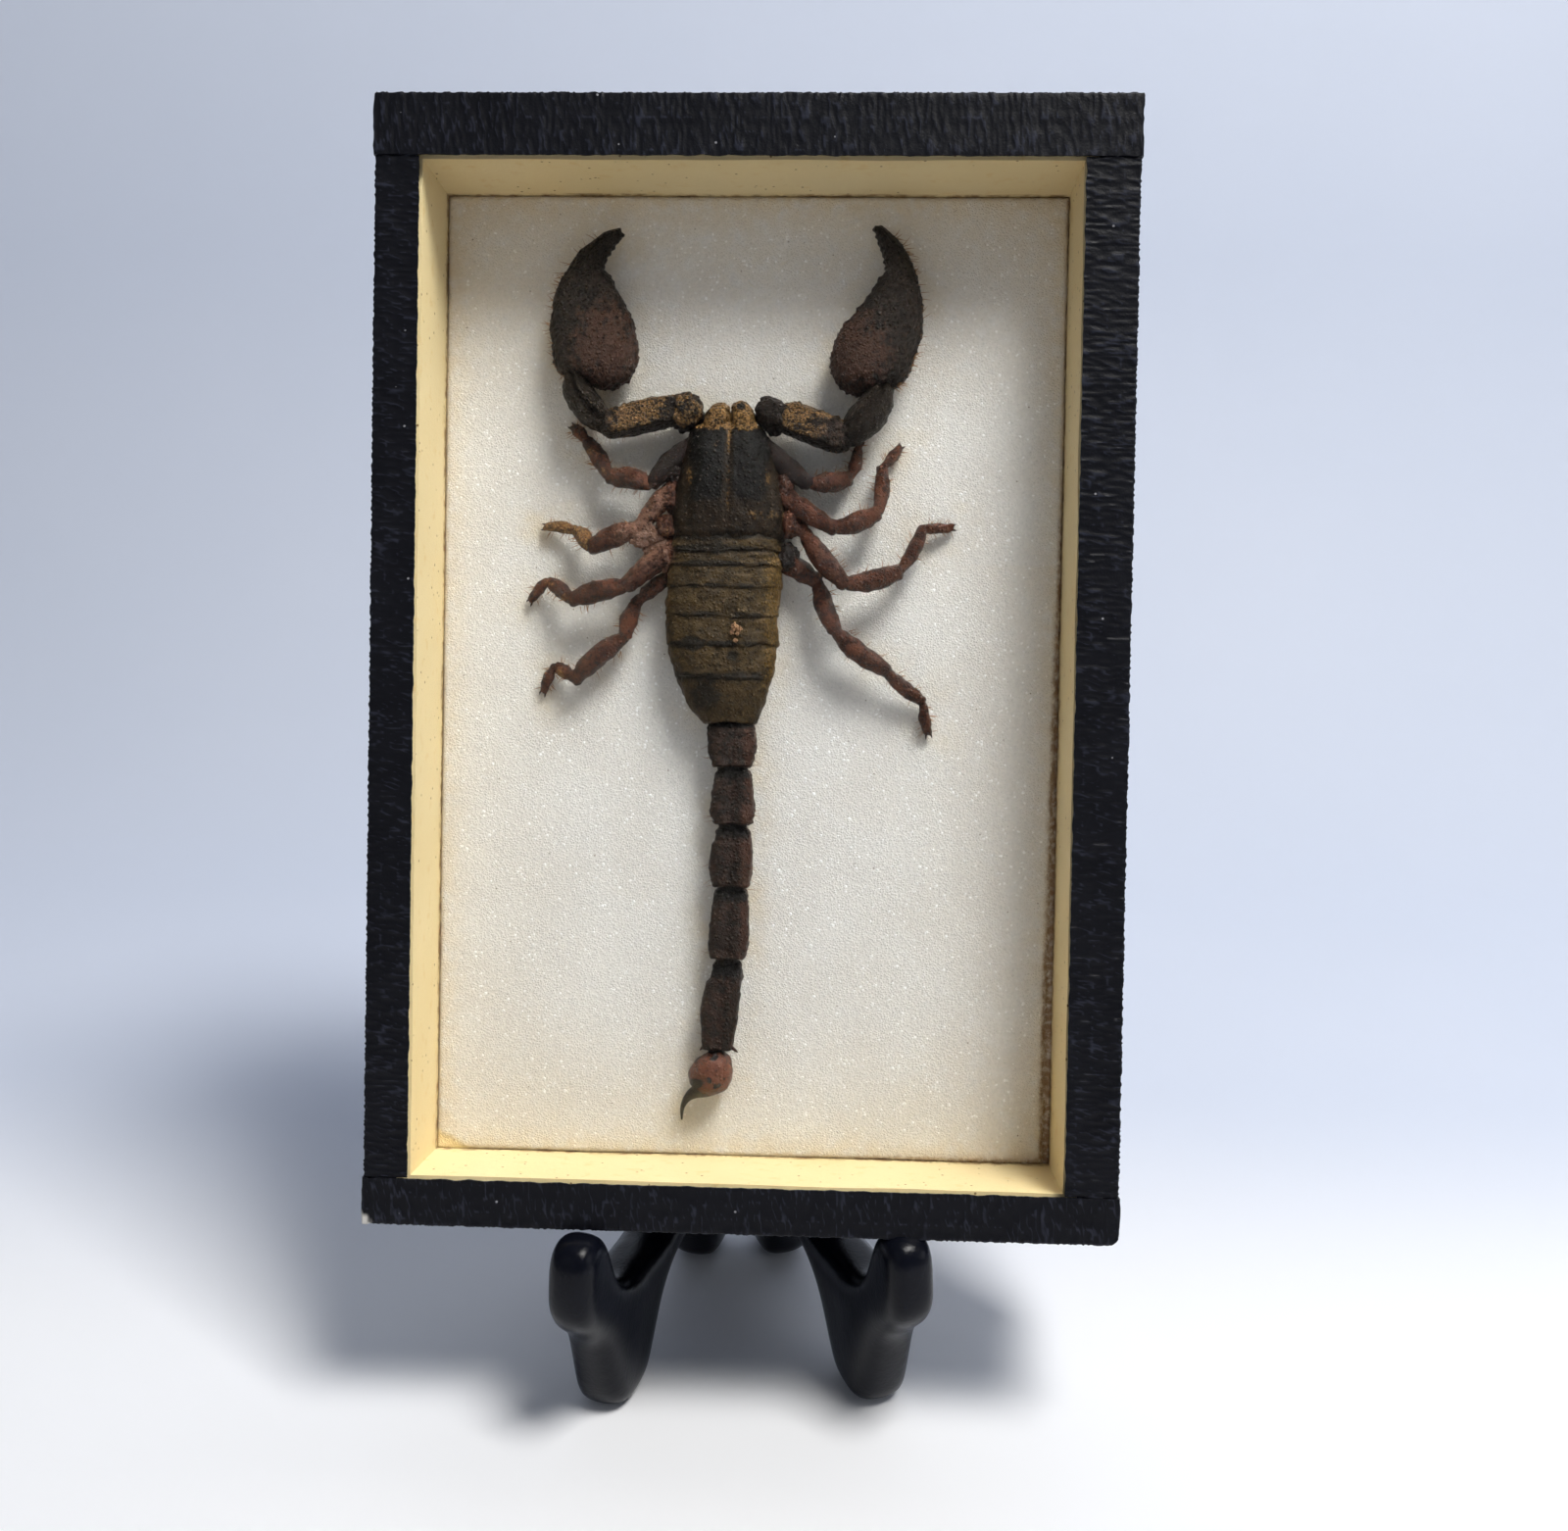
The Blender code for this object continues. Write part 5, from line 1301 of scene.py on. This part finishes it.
# %% Legs
# From the body out: joints (u, v, h), then the half-width of each segment
LEGS = {
    "left_1": (((-10.0, 41.5, 4.6), (-18.3, 33.2, 6.2), (-26.2, 34.6, 5.0),
                (-30.7, 41.6, 2.6), (-33.8, 44.4, 1.2)), (2.0, 1.95, 1.45, 1.1)),
    "left_2": (((-12.0, 35.0, 4.6), (-20.3, 25.4, 6.4), (-29.3, 21.8, 5.0),
                (-32.2, 25.3, 3.0), (-38.6, 26.0, 1.2)), (1.8, 1.95, 1.45, 1.05)),
    "left_3": (((-12.0, 23.5, 4.8), (-22.4, 14.9, 6.8), (-32.6, 12.4, 5.0),
                (-37.3, 16.0, 2.8), (-41.0, 12.3, 1.1)), (2.1, 1.95, 1.35, 1.0)),
    "left_4": (((-12.0, 19.0, 2.9), (-21.3, 12.2, 2.9), (-22.9, 6.0, 4.6),
                (-32.2, -1.8, 3.6), (-35.9, 0.7, 2.2), (-38.4, -4.3, 1.0)), (1.4, 1.6, 1.9, 1.25, 1.0)),
    "right_1": (((1.0, 41.5, 4.6), (9.9, 33.5, 5.6), (17.2, 35.0, 3.6),
                 (18.5, 40.6, 1.4), (18.9, 44.0, 1.0)), (1.9, 1.85, 1.15, 0.8)),
    "right_2": (((2.0, 34.4, 4.6), (14.5, 25.5, 7.0), (22.2, 28.6, 5.0),
                 (22.9, 37.0, 2.8), (26.2, 41.3, 1.2)), (1.85, 1.85, 1.4, 1.0)),
    "right_3": (((2.0, 29.5, 4.8), (9.0, 25.2, 5.4), (16.7, 15.6, 7.0), (26.3, 18.2, 5.0),
                 (30.4, 26.3, 2.8), (36.0, 26.8, 1.1)), (1.75, 1.95, 1.9, 1.3, 1.0)),
    "right_4": (((2.0, 23.0, 3.6), (11.6, 16.6, 3.8), (14.9, 7.4, 5.6), (24.2, 0.6, 4.2),
                 (31.0, -4.9, 2.2), (32.2, -10.9, 1.2)), (2.0, 1.75, 1.85, 1.35, 1.05)),
}
SEGMENT_SHAPE = ((-0.03, 0.30), (0.0, 0.52), (0.06, 0.64), (0.18, 0.80), (0.36, 0.97), (0.55, 1.0),
                 (0.74, 0.93),
                 (0.90, 0.76), (0.97, 0.74), (1.03, 0.60), (1.05, 0.30))
TIP_SHAPE = ((-0.04, 0.40), (0.02, 0.70), (0.15, 0.82), (0.40, 0.95), (0.70, 0.88), (0.90, 0.72),
             (0.98, 0.58), (1.0, 0.30))
LEG_FLATNESS = 0.92
MOULDY = {"left_2": 2}      # the segments from this one out are golden with mould


def limb_cut(centre, direction, half_width):
    side = Vector((direction.y, -direction.x)).normalized() * half_width
    lift = half_width * LEG_FLATNESS
    return cut((centre.x - side.x, centre.y - side.y), (centre.x + side.x, centre.y + side.y),
               centre.z - lift, centre.z + lift, 0.5)


def leg_relief(spot):
    keel = 0.12 * bell(spot.turn - 1.9, 0.3)
    return keel + 0.26 * spot.grain(1.5) + 0.14 * spot.grain(0.6) + 0.10 * spot.beads(0.8)


def leg_marks(name, index, last):
    mouldy = index >= MOULDY.get(name, 99)

    def marks(spot):
        joint = max(smoothstep(0.16, 0.03, spot.way), smoothstep(0.86, 0.97, spot.way))
        # painted shade: the legs are darker where they face down, towards the foam
        under = smoothstep(0.1, -0.5, spot.up)
        film = 0.95 * spot.near(-20.0, 23.0, 5.0) + 0.5 * spot.near(-16.5, 31.0,
                                                                    3.5) if name.startswith("left") else 0.0
        tip = 0.45 if index >= last - 1 and name.startswith("left") else 0.15 * (index >= last)
        return {"dark": 0.75 * joint + 0.55 * under + (0.75 if name.endswith("_1") and index == 0 else 0.0),
                "gold": 0.95 if mouldy else tip * (0.7 + 0.8 * spot.grain(2.0)),
                "red": 0.30 + 0.8 * spot.grain(4.0),
                "film": film, "gloss": 0.75 * (1 - joint)}
    return marks


def leg_shells(name, joints, widths):
    shells = []
    joints = [Vector(joint) for joint in joints]
    last = len(widths) - 1
    for index, (start, end, wide) in enumerate(zip(joints, joints[1:], widths)):
        run = end - start
        shape = TIP_SHAPE if index == last else SEGMENT_SHAPE
        bend = Vector((run.y, -run.x, 0)).normalized() * 0.035 * run.length
        rows = [limb_cut(start + part * run + bend * math.sin(math.pi * clip(part)), run, wide * fullness)
                for part, fullness in shape]
        shells.append(work(loft(flow(rows, 4), 28), leg_relief, leg_marks(name, index, last)))
    return shells


for name, (joints, widths) in LEGS.items():
    finish(f"leg_{name}", join(leg_shells(name, joints, widths)), LEG_SHELL,
           stands_for=[f"scorpion_leg_{name}"], matrix=BED)

# %% [markdown]
# ## Small things
# Stiff hairs stand on the claws' outer edges, on the legs and on the tail; each one is a
# thin tapering rod in three bent lengths. Two hooks end every leg. A dried crumb lies on the
# back, a pinkish skin has dried over the left legs' bases, round hips swell at both sides,
# and two scraps of fibre lie on the foam.

# %% Hairs, hooks and spines
def thin_rod(start, way, length, thick, droop, sides=4):
    """A tapering rod that bends, as cross-sections of a tiny loft."""
    bm = bmesh.new()
    rings = 4
    bmesh.ops.create_circle(bm, segments=sides, radius=thick, cap_ends=True)
    aim = way.normalized()
    bmesh.ops.transform(bm, matrix=Matrix.Translation(start) @ aim.to_track_quat("Z",
                                                                                 "Y").to_matrix().to_4x4(),
                        verts=bm.verts)
    edges = list(bm.edges)
    place = start.copy()
    for ring in range(1, rings):
        verts, edges = extrude_ring(bm, edges)
        aim = (aim + droop / rings).normalized()
        step = aim * length / (rings - 1)
        place += step
        bmesh.ops.translate(bm, vec=step, verts=verts)
        shrink = 0.8 if ring < rings - 1 else 0.3
        for vert in verts:
            vert.co = place + (vert.co - place) * shrink
    bmesh.ops.edgeloop_fill(bm, edges=edges)
    bmesh.ops.recalc_face_normals(bm, faces=bm.faces)
    return bm


def hairs_along(points, count, out, length, thick, spread, draw):
    """Hairs from a line of points, each leaning outwards by its own chance."""
    made = []
    for _ in range(count):
        part = draw.random() * (len(points) - 1)
        index = min(int(part), len(points) - 2)
        root = points[index].lerp(points[index + 1], part - index)
        lean = Vector([draw.uniform(-spread, spread) for _ in range(3)])
        size = length * draw.uniform(0.5, 1.2)
        droop = Vector([draw.uniform(-0.5, 0.5) for _ in range(3)])
        made.append(thin_rod(root, out + lean, size, thick, droop))
    return made


draw = random.Random(7)
hairs, hooks = [], []
for side, sections in ARMS.items():
    sign, outer = (-1, 0) if side == "left" else (1, 1)
    edge = [Vector((row[outer][0] - sign * 0.25, -0.5 * (row[2] + row[3]), row[outer][1]))
            for row in sections["claw"][2:12]]
    hairs += hairs_along(edge, 60, Vector((sign, -0.2, 0.25)), 2.1, 0.085, 0.6, draw)
    heel = [Vector((p.x, -5.0, p.z)) for p in edge[:2]]
    hairs += hairs_along(heel, 9, Vector((sign, -0.3, -0.8)), 2.1, 0.075, 0.5, draw)
    elbow = [Vector((row[1 - outer][0], -5.5, row[1 - outer][1])) for row in sections["upper_arm"][3:6]]
    hairs += hairs_along(elbow, 7, Vector((0.2 * sign, -0.3, -1)), 1.4, 0.05, 0.5, draw)

for name, (joints, widths) in LEGS.items():
    line = [Vector((u, -h, v)) for u, v, h in joints]
    for start, end, wide in zip(line[1:], line[2:], widths[1:]):
        run = (end - start).normalized()
        across = run.cross(Vector((0, 1, 0))).normalized()
        for hand in (-1, 1):
            side_line = [start.lerp(end, part) + hand * across * wide * 0.8 for part in (0.15, 0.5, 0.9)]
            hairs += hairs_along(side_line, 7, hand * across + 0.5 * run, 1.5, 0.08, 0.45, draw)
    tip, run = line[-1], (line[-1] - line[-2]).normalized()
    across = run.cross(Vector((0, 1, 0))).normalized()
    for hand in (-1, 1):
        hooks.append(thin_rod(tip - 0.5 * run + hand * 0.25 * across, run + 0.75 * hand * across, 1.5, 0.26,
                              Vector((0, 0.9, 0)) - 0.8 * hand * across, 8))
    hooks.append(thin_rod(tip - 1.6 * run, across + 0.6 * run, 0.9, 0.16, Vector((0, 0.3, 0)), 6))

for _, wide, rear, _ in TAIL_SEGMENTS:
    for column, sign in ((1, -1), (2, 1)):
        line = [Vector((row[column] - 0.15 * sign, -4.2, row[0])) for row in (wide, rear)]
        hairs += hairs_along(line, 3, Vector((sign, -0.2, -0.3)), 1.6, 0.05, 0.5, draw)
hairs.append(thin_rod(Vector((0.0, -4.4, -39.2)), Vector((1, 0, 0)), 3.2, 0.055, Vector((0, 0.1, -0.1))))
hooks.append(thin_rod(Vector((-2.7, -4.6, -67.6)), Vector((1.0, 0.0, -0.75)), 1.9, 0.42,
                      Vector((0.2, 0, -0.2)), 10))
hooks.append(thin_rod(Vector((-7.6, -4.4, -67.9)), Vector((-0.8, 0.0, -0.8)), 0.9, 0.3, Vector((0, 0, -0.2)),
                      8))

hair_brown = Recipe("hair_brown", Roughness=0.45)
streaks = hair_brown.noise(hair_brown.spot(), 0.4)
hair_brown.set("Base Color", hair_brown.mix(streaks, (0.16, 0.070, 0.025), (0.42, 0.23, 0.10)))
finish("hairs", join(hairs), hair_brown.material, matrix=BED)
HOOK_SHELL = dried_shell("hook_shell", (0.050, 0.022, 0.015), (0.022, 0.012, 0.009), (0.012, 0.008, 0.007),
                         (0.10, 0.04, 0.03), 0.3, rough=(0.30, 0.50), bump=0.02)
finish("hooks", join(hooks), HOOK_SHELL, matrix=BED)

# %% Crumb, hip, dried skin and fibres
def lump(place, size, seed, rough=0.35, detail=4):
    """A round lump with uneven sides: a ball pushed in and out by noise."""
    bm = bmesh.new()
    bmesh.ops.create_icosphere(bm, subdivisions=detail, radius=1.0)
    for vert in bm.verts:
        swell = 1 + rough * noise.noise(vert.co * 1.6
                                        + Vector((seed, 0, 0))) + 0.4 * rough * noise.noise(vert.co * 4.5)
        vert.co = Vector(place) + Vector([vert.co[axis] * size[axis] * swell for axis in range(3)])
    return bm


def pale_crust():
    recipe = Recipe("pale_crust", Roughness=0.8)
    at = recipe.spot()
    colour = recipe.mix(recipe.noise(at, 2.0, 4.0), (0.13, 0.058, 0.022), (0.34, 0.19, 0.095))
    recipe.set("Base Color", colour)
    recipe.bump(recipe.noise(at, 4.0, 4.0), 0.08)
    return recipe.material


# Place, size and roughness of each lump
CRUMBS = (
    ((-2.7, -10.0, 7.6), (0.62, 0.5, 0.66), 0.7),
    ((-1.9, -9.9, 7.3), (0.45, 0.4, 0.5), 0.7),
    ((-3.2, -9.9, 6.7), (0.36, 0.3, 0.4), 0.7),
    ((-2.6, -9.7, 5.3), (0.36, 0.3, 0.34), 0.6),
    ((-2.2, -9.9, 6.5), (0.30, 0.3, 0.32), 0.6),
)
crumbs = [lump(place, size, seed, rough) for seed, (place, size, rough) in enumerate(CRUMBS, 1)]
finish("crumb", join(crumbs), pale_crust(), matrix=BED)


def plain_marks(bm, **values):
    """The layers that the shell recipe reads, with one value all over."""
    for name in MARKS:
        layer = bm.verts.layers.float.new(name)
        for vert in bm.verts:
            vert[layer] = values.get(name, 0.0)
    return bm


# Place, size, seed, roughness and marks of each lump
HIPS = (
    ((-19.6, -6.7, 24.2), (2.7, 0.9, 2.2), 13.0, 0.5, {"film": 0.95}),
    ((-17.4, -6.0, 22.0), (2.2, 0.9, 2.4), 14.0, 0.5, {"film": 0.9}),
    ((-15.6, -5.4, 25.6), (2.1, 2.5, 2.3), 6.0, 0.25, {"gold": 0.35, "dark": 0.25, "gloss": 0.3}),
    ((-14.6, -4.8, 30.6), (1.9, 2.2, 2.6), 7.0, 0.3, {"red": 0.4, "dark": 0.3, "gloss": 0.2}),
    ((-15.8, -4.8, 20.6), (2.0, 2.3, 2.6), 8.0, 0.3, {"red": 0.5, "film": 0.6}),
    ((6.6, -4.9, 26.6), (1.8, 2.4, 2.8), 9.0, 0.3, {"red": 0.6, "gloss": 0.3}),
    ((6.2, -4.6, 20.4), (1.9, 2.2, 2.8), 10.0, 0.3, {"dark": 0.8}),
    ((5.4, -4.7, 33.2), (1.8, 2.3, 2.8), 11.0, 0.3, {"red": 0.4, "dark": 0.3}),
    ((-14.2, -4.7, 35.8), (1.8, 2.3, 2.8), 12.0, 0.3, {"dark": 0.6}),
)
hips = [plain_marks(lump(place, size, seed, rough, 5), **marks) for place, size, seed, rough, marks in HIPS]
finish("hips", join(hips), LEG_SHELL, matrix=BED)

fibres = [thin_rod(Vector((4.0, -0.12, 74.1)), Vector((0.9, 0, 0.35)), 1.5, 0.13, Vector((0.1, 0, 0.4)), 6),
          thin_rod(Vector((-1.9, -0.12, 70.9)), Vector((0.5, 0, -0.9)), 1.7, 0.11, Vector((0.9, 0, 0.2)), 6)]
fibre = Recipe("pale_fibre", Roughness=0.7)
fibre.set("Base Color", fibre.mix(fibre.noise(fibre.spot(), 1.5), (0.55, 0.47, 0.34), (0.80, 0.76, 0.66)))
finish("fibres", join(fibres), fibre.material, matrix=BED)

# %% [markdown]
# ## The foam bed
# Fine white foam with a glittering grain. It was cut by hand: its lower left corner is worn
# down and its right edge falls short of the wall, and it is darker brown along its edges and in
# that gap. A grid is pushed down along such edges and rounded over at its rim. Each point
# also carries how stained it is: the foam has yellowed along its edges and round what lies on
# it, so the distance to the scorpion's own points decides the halo. The same value holds a
# broad darker band below the top wall, which is painted shade.

# %% Foam block
FOAM_STEP = 0.55
FOAM_BACK = 7.0
FOAM_INSET = 0.06
CORNER_CUT = (6.2, 3.4)
RIGHT_SHRINK = 1.5
LEDGE = 0.9             # how far the worn corner and the gap at the right lie below the foam's face
HALO = 4.2              # how far a stain reaches round the scorpion
RIM_RADIUS = 0.55
SHRINK_TOP = 0.8        # the right edge falls short from this part of the upper half down
left, right = -HALF + EDGE_LEFT + FOAM_INSET, HALF - EDGE_RIGHT - FOAM_INSET
bottom, top = low_seam + FOAM_INSET - CASE_HEIGHT / 2, high_seam - FOAM_INSET - CASE_HEIGHT / 2
print("foam", round(right - left, 1), "by", round(top - bottom, 1), "mm")

CASE_PIECES = ("crepe", "liner", "board", "screws", "floor", "hair", "fibre", "crumb")
insect = [piece for piece in bpy.data.objects
          if piece.type == "MESH" and piece.name not in NODES and not piece.name.startswith(CASE_PIECES)]
print("pieces that stain the foam:", [piece.name for piece in insect])
to_bed = BED.inverted()
resting = KDTree(sum(len(piece.data.vertices) for piece in insect))
for index, vert in enumerate(vert for piece in insect for vert in piece.data.vertices):
    resting.insert(to_bed @ vert.co, index)
resting.balance()


def rim_drop(distance):
    """How far the rounded rim falls at a distance from the edge."""
    across = RIM_RADIUS - min(RIM_RADIUS, max(0.0, distance))
    return RIM_RADIUS - math.sqrt(max(0.0, RIM_RADIUS ** 2 - across ** 2))


def foam_block():
    bm = bmesh.new()
    columns, rows = int((right - left) / FOAM_STEP), int((top - bottom) / FOAM_STEP)
    bmesh.ops.create_grid(bm, x_segments=columns, y_segments=rows, size=1.0)
    stain, dirt, bare = [bm.verts.layers.float.new(name) for name in ("stain", "dirt", "bare")]
    for vert in bm.verts:
        u = left + (right - left) * (vert.co.x + 1) / 2
        v = bottom + (top - bottom) * (vert.co.y + 1) / 2
        ragged = 0.35 * noise.noise(Vector((u, v, 3)) / 2.2)
        gap = right - RIGHT_SHRINK * smoothstep(top * SHRINK_TOP, bottom,
                                                min(v, top * SHRINK_TOP)) + ragged - u
        corner = (u - left) / CORNER_CUT[0] + (v - bottom) / CORNER_CUT[1] - 1 + 0.4 * ragged
        sunk = LEDGE * max(smoothstep(0.25, -0.35, gap) * (v < top * 0.75),
                           0.55 * smoothstep(0.20, -0.45, corner))
        border = min(u - left, right - u, v - bottom, top - v)
        grain = 0.07 * noise.noise(Vector((u, v, 0)) * 1.3) + 0.10 * noise.noise(Vector((u, v, 5)) * 0.12)
        away = resting.find(Vector((u, 0.0, v)))[2]
        cloud = 0.5 + noise.noise(Vector((u, v, 9)) * 0.16)
        worn = smoothstep(0.30, -0.10, corner)
        vert[bare] = worn
        # stain: yellowing along the edges and round the scorpion; its broad band below the top wall is
        # painted shade
        vert[stain] = clip(0.62 * bell(border, 3.6) + 0.75 * bell(away, HALO) * cloud
                           + 0.20 * bell(v - bottom, 24.0)
                           + 0.46 * bell(top - v, 34.0) + 0.20 * bell(right - u, 20.0) * (v < 20))
        vert[dirt] = clip(1.1 * bell(max(0.0, gap), 0.55) * smoothstep(top * 0.55, top * 0.1, v)
                          + 0.62 * bell(border, 0.45) * (0.7 + 2 * ragged)
                          + 0.8 * bell(v - bottom, 1.3) * smoothstep(5, 42,
                                                                     u)) * (1 - worn) + 0.5 * bell(corner,
                                                                                                   0.10)
        vert.co = (u, max(rim_drop(border), sunk) - grain, v)
    rim = [e for e in bm.edges if e.is_boundary]
    for vert in extrude_ring(bm, rim)[0]:
        vert.co.y = FOAM_BACK
    bmesh.ops.edgeloop_fill(bm, edges=[e for e in bm.edges if e.is_boundary])
    bmesh.ops.recalc_face_normals(bm, faces=bm.faces)
    return bm


# %% Foam material
def white_foam():
    """Closed-cell foam: cells a little under a millimetre; some are glossier, and the brightest are painted
    paler as a painted glint.
    """
    recipe = Recipe("glittering_foam", Specular_IOR_Level=0.6)
    at = recipe.spot()
    cell = recipe.cells(at, 2.6)
    tone = recipe.axis(recipe.cells(at, 2.6, "Color"), "X")
    broad = recipe.noise(at, 0.06, 4.0)
    colour = recipe.mix(recipe.fade(broad, 0.35, 0.65), (0.680, 0.655, 0.615), (0.71, 0.695, 0.665))
    colour = recipe.mix(recipe.times(tone, 0.42), colour, (0.50, 0.49, 0.47))
    # painted glint: the brightest cells are painted near white
    colour = recipe.mix(recipe.fade(tone, 0.955, 0.995), colour, (0.93, 0.93, 0.92))
    stain = recipe.times(recipe.painted("stain"), recipe.fade(recipe.noise(at, 0.35, 5.0), 0.15, 0.65))
    colour = recipe.mix(recipe.times(stain, 0.62), colour, (0.60, 0.47, 0.27))
    colour = recipe.mix(recipe.painted("bare"), colour, (0.78, 0.66, 0.40))
    dirt = recipe.times(recipe.painted("dirt"), recipe.fade(recipe.noise(at, 0.8, 5.0, 0.7), 0.28, 0.60))
    colour = recipe.mix(recipe.times(dirt, 0.9), colour, (0.22, 0.115, 0.045))
    specks = recipe.times(recipe.fade(recipe.cells(at, 0.16), 0.030, 0.018), recipe.fade(broad, 0.40, 0.52))
    crumbs = recipe.times(recipe.fade(recipe.cells(at, 0.30), 0.045, 0.030), recipe.fade(broad, 0.60, 0.52))
    colour = recipe.mix(recipe.sum("MAXIMUM", specks, crumbs), colour, (0.13, 0.085, 0.05))
    recipe.set("Base Color", colour)
    recipe.set("Roughness", recipe.ramp(tone, 0.62, 0.24, 0.80, 0.97))
    recipe.bump(recipe.sum("ADD", recipe.fade(cell, 0.7, 0.0), recipe.times(tone, 0.8)), 0.09)
    return recipe.material


finish("foam", foam_block(), white_foam(), stands_for=["foam_bed"], matrix=BED)
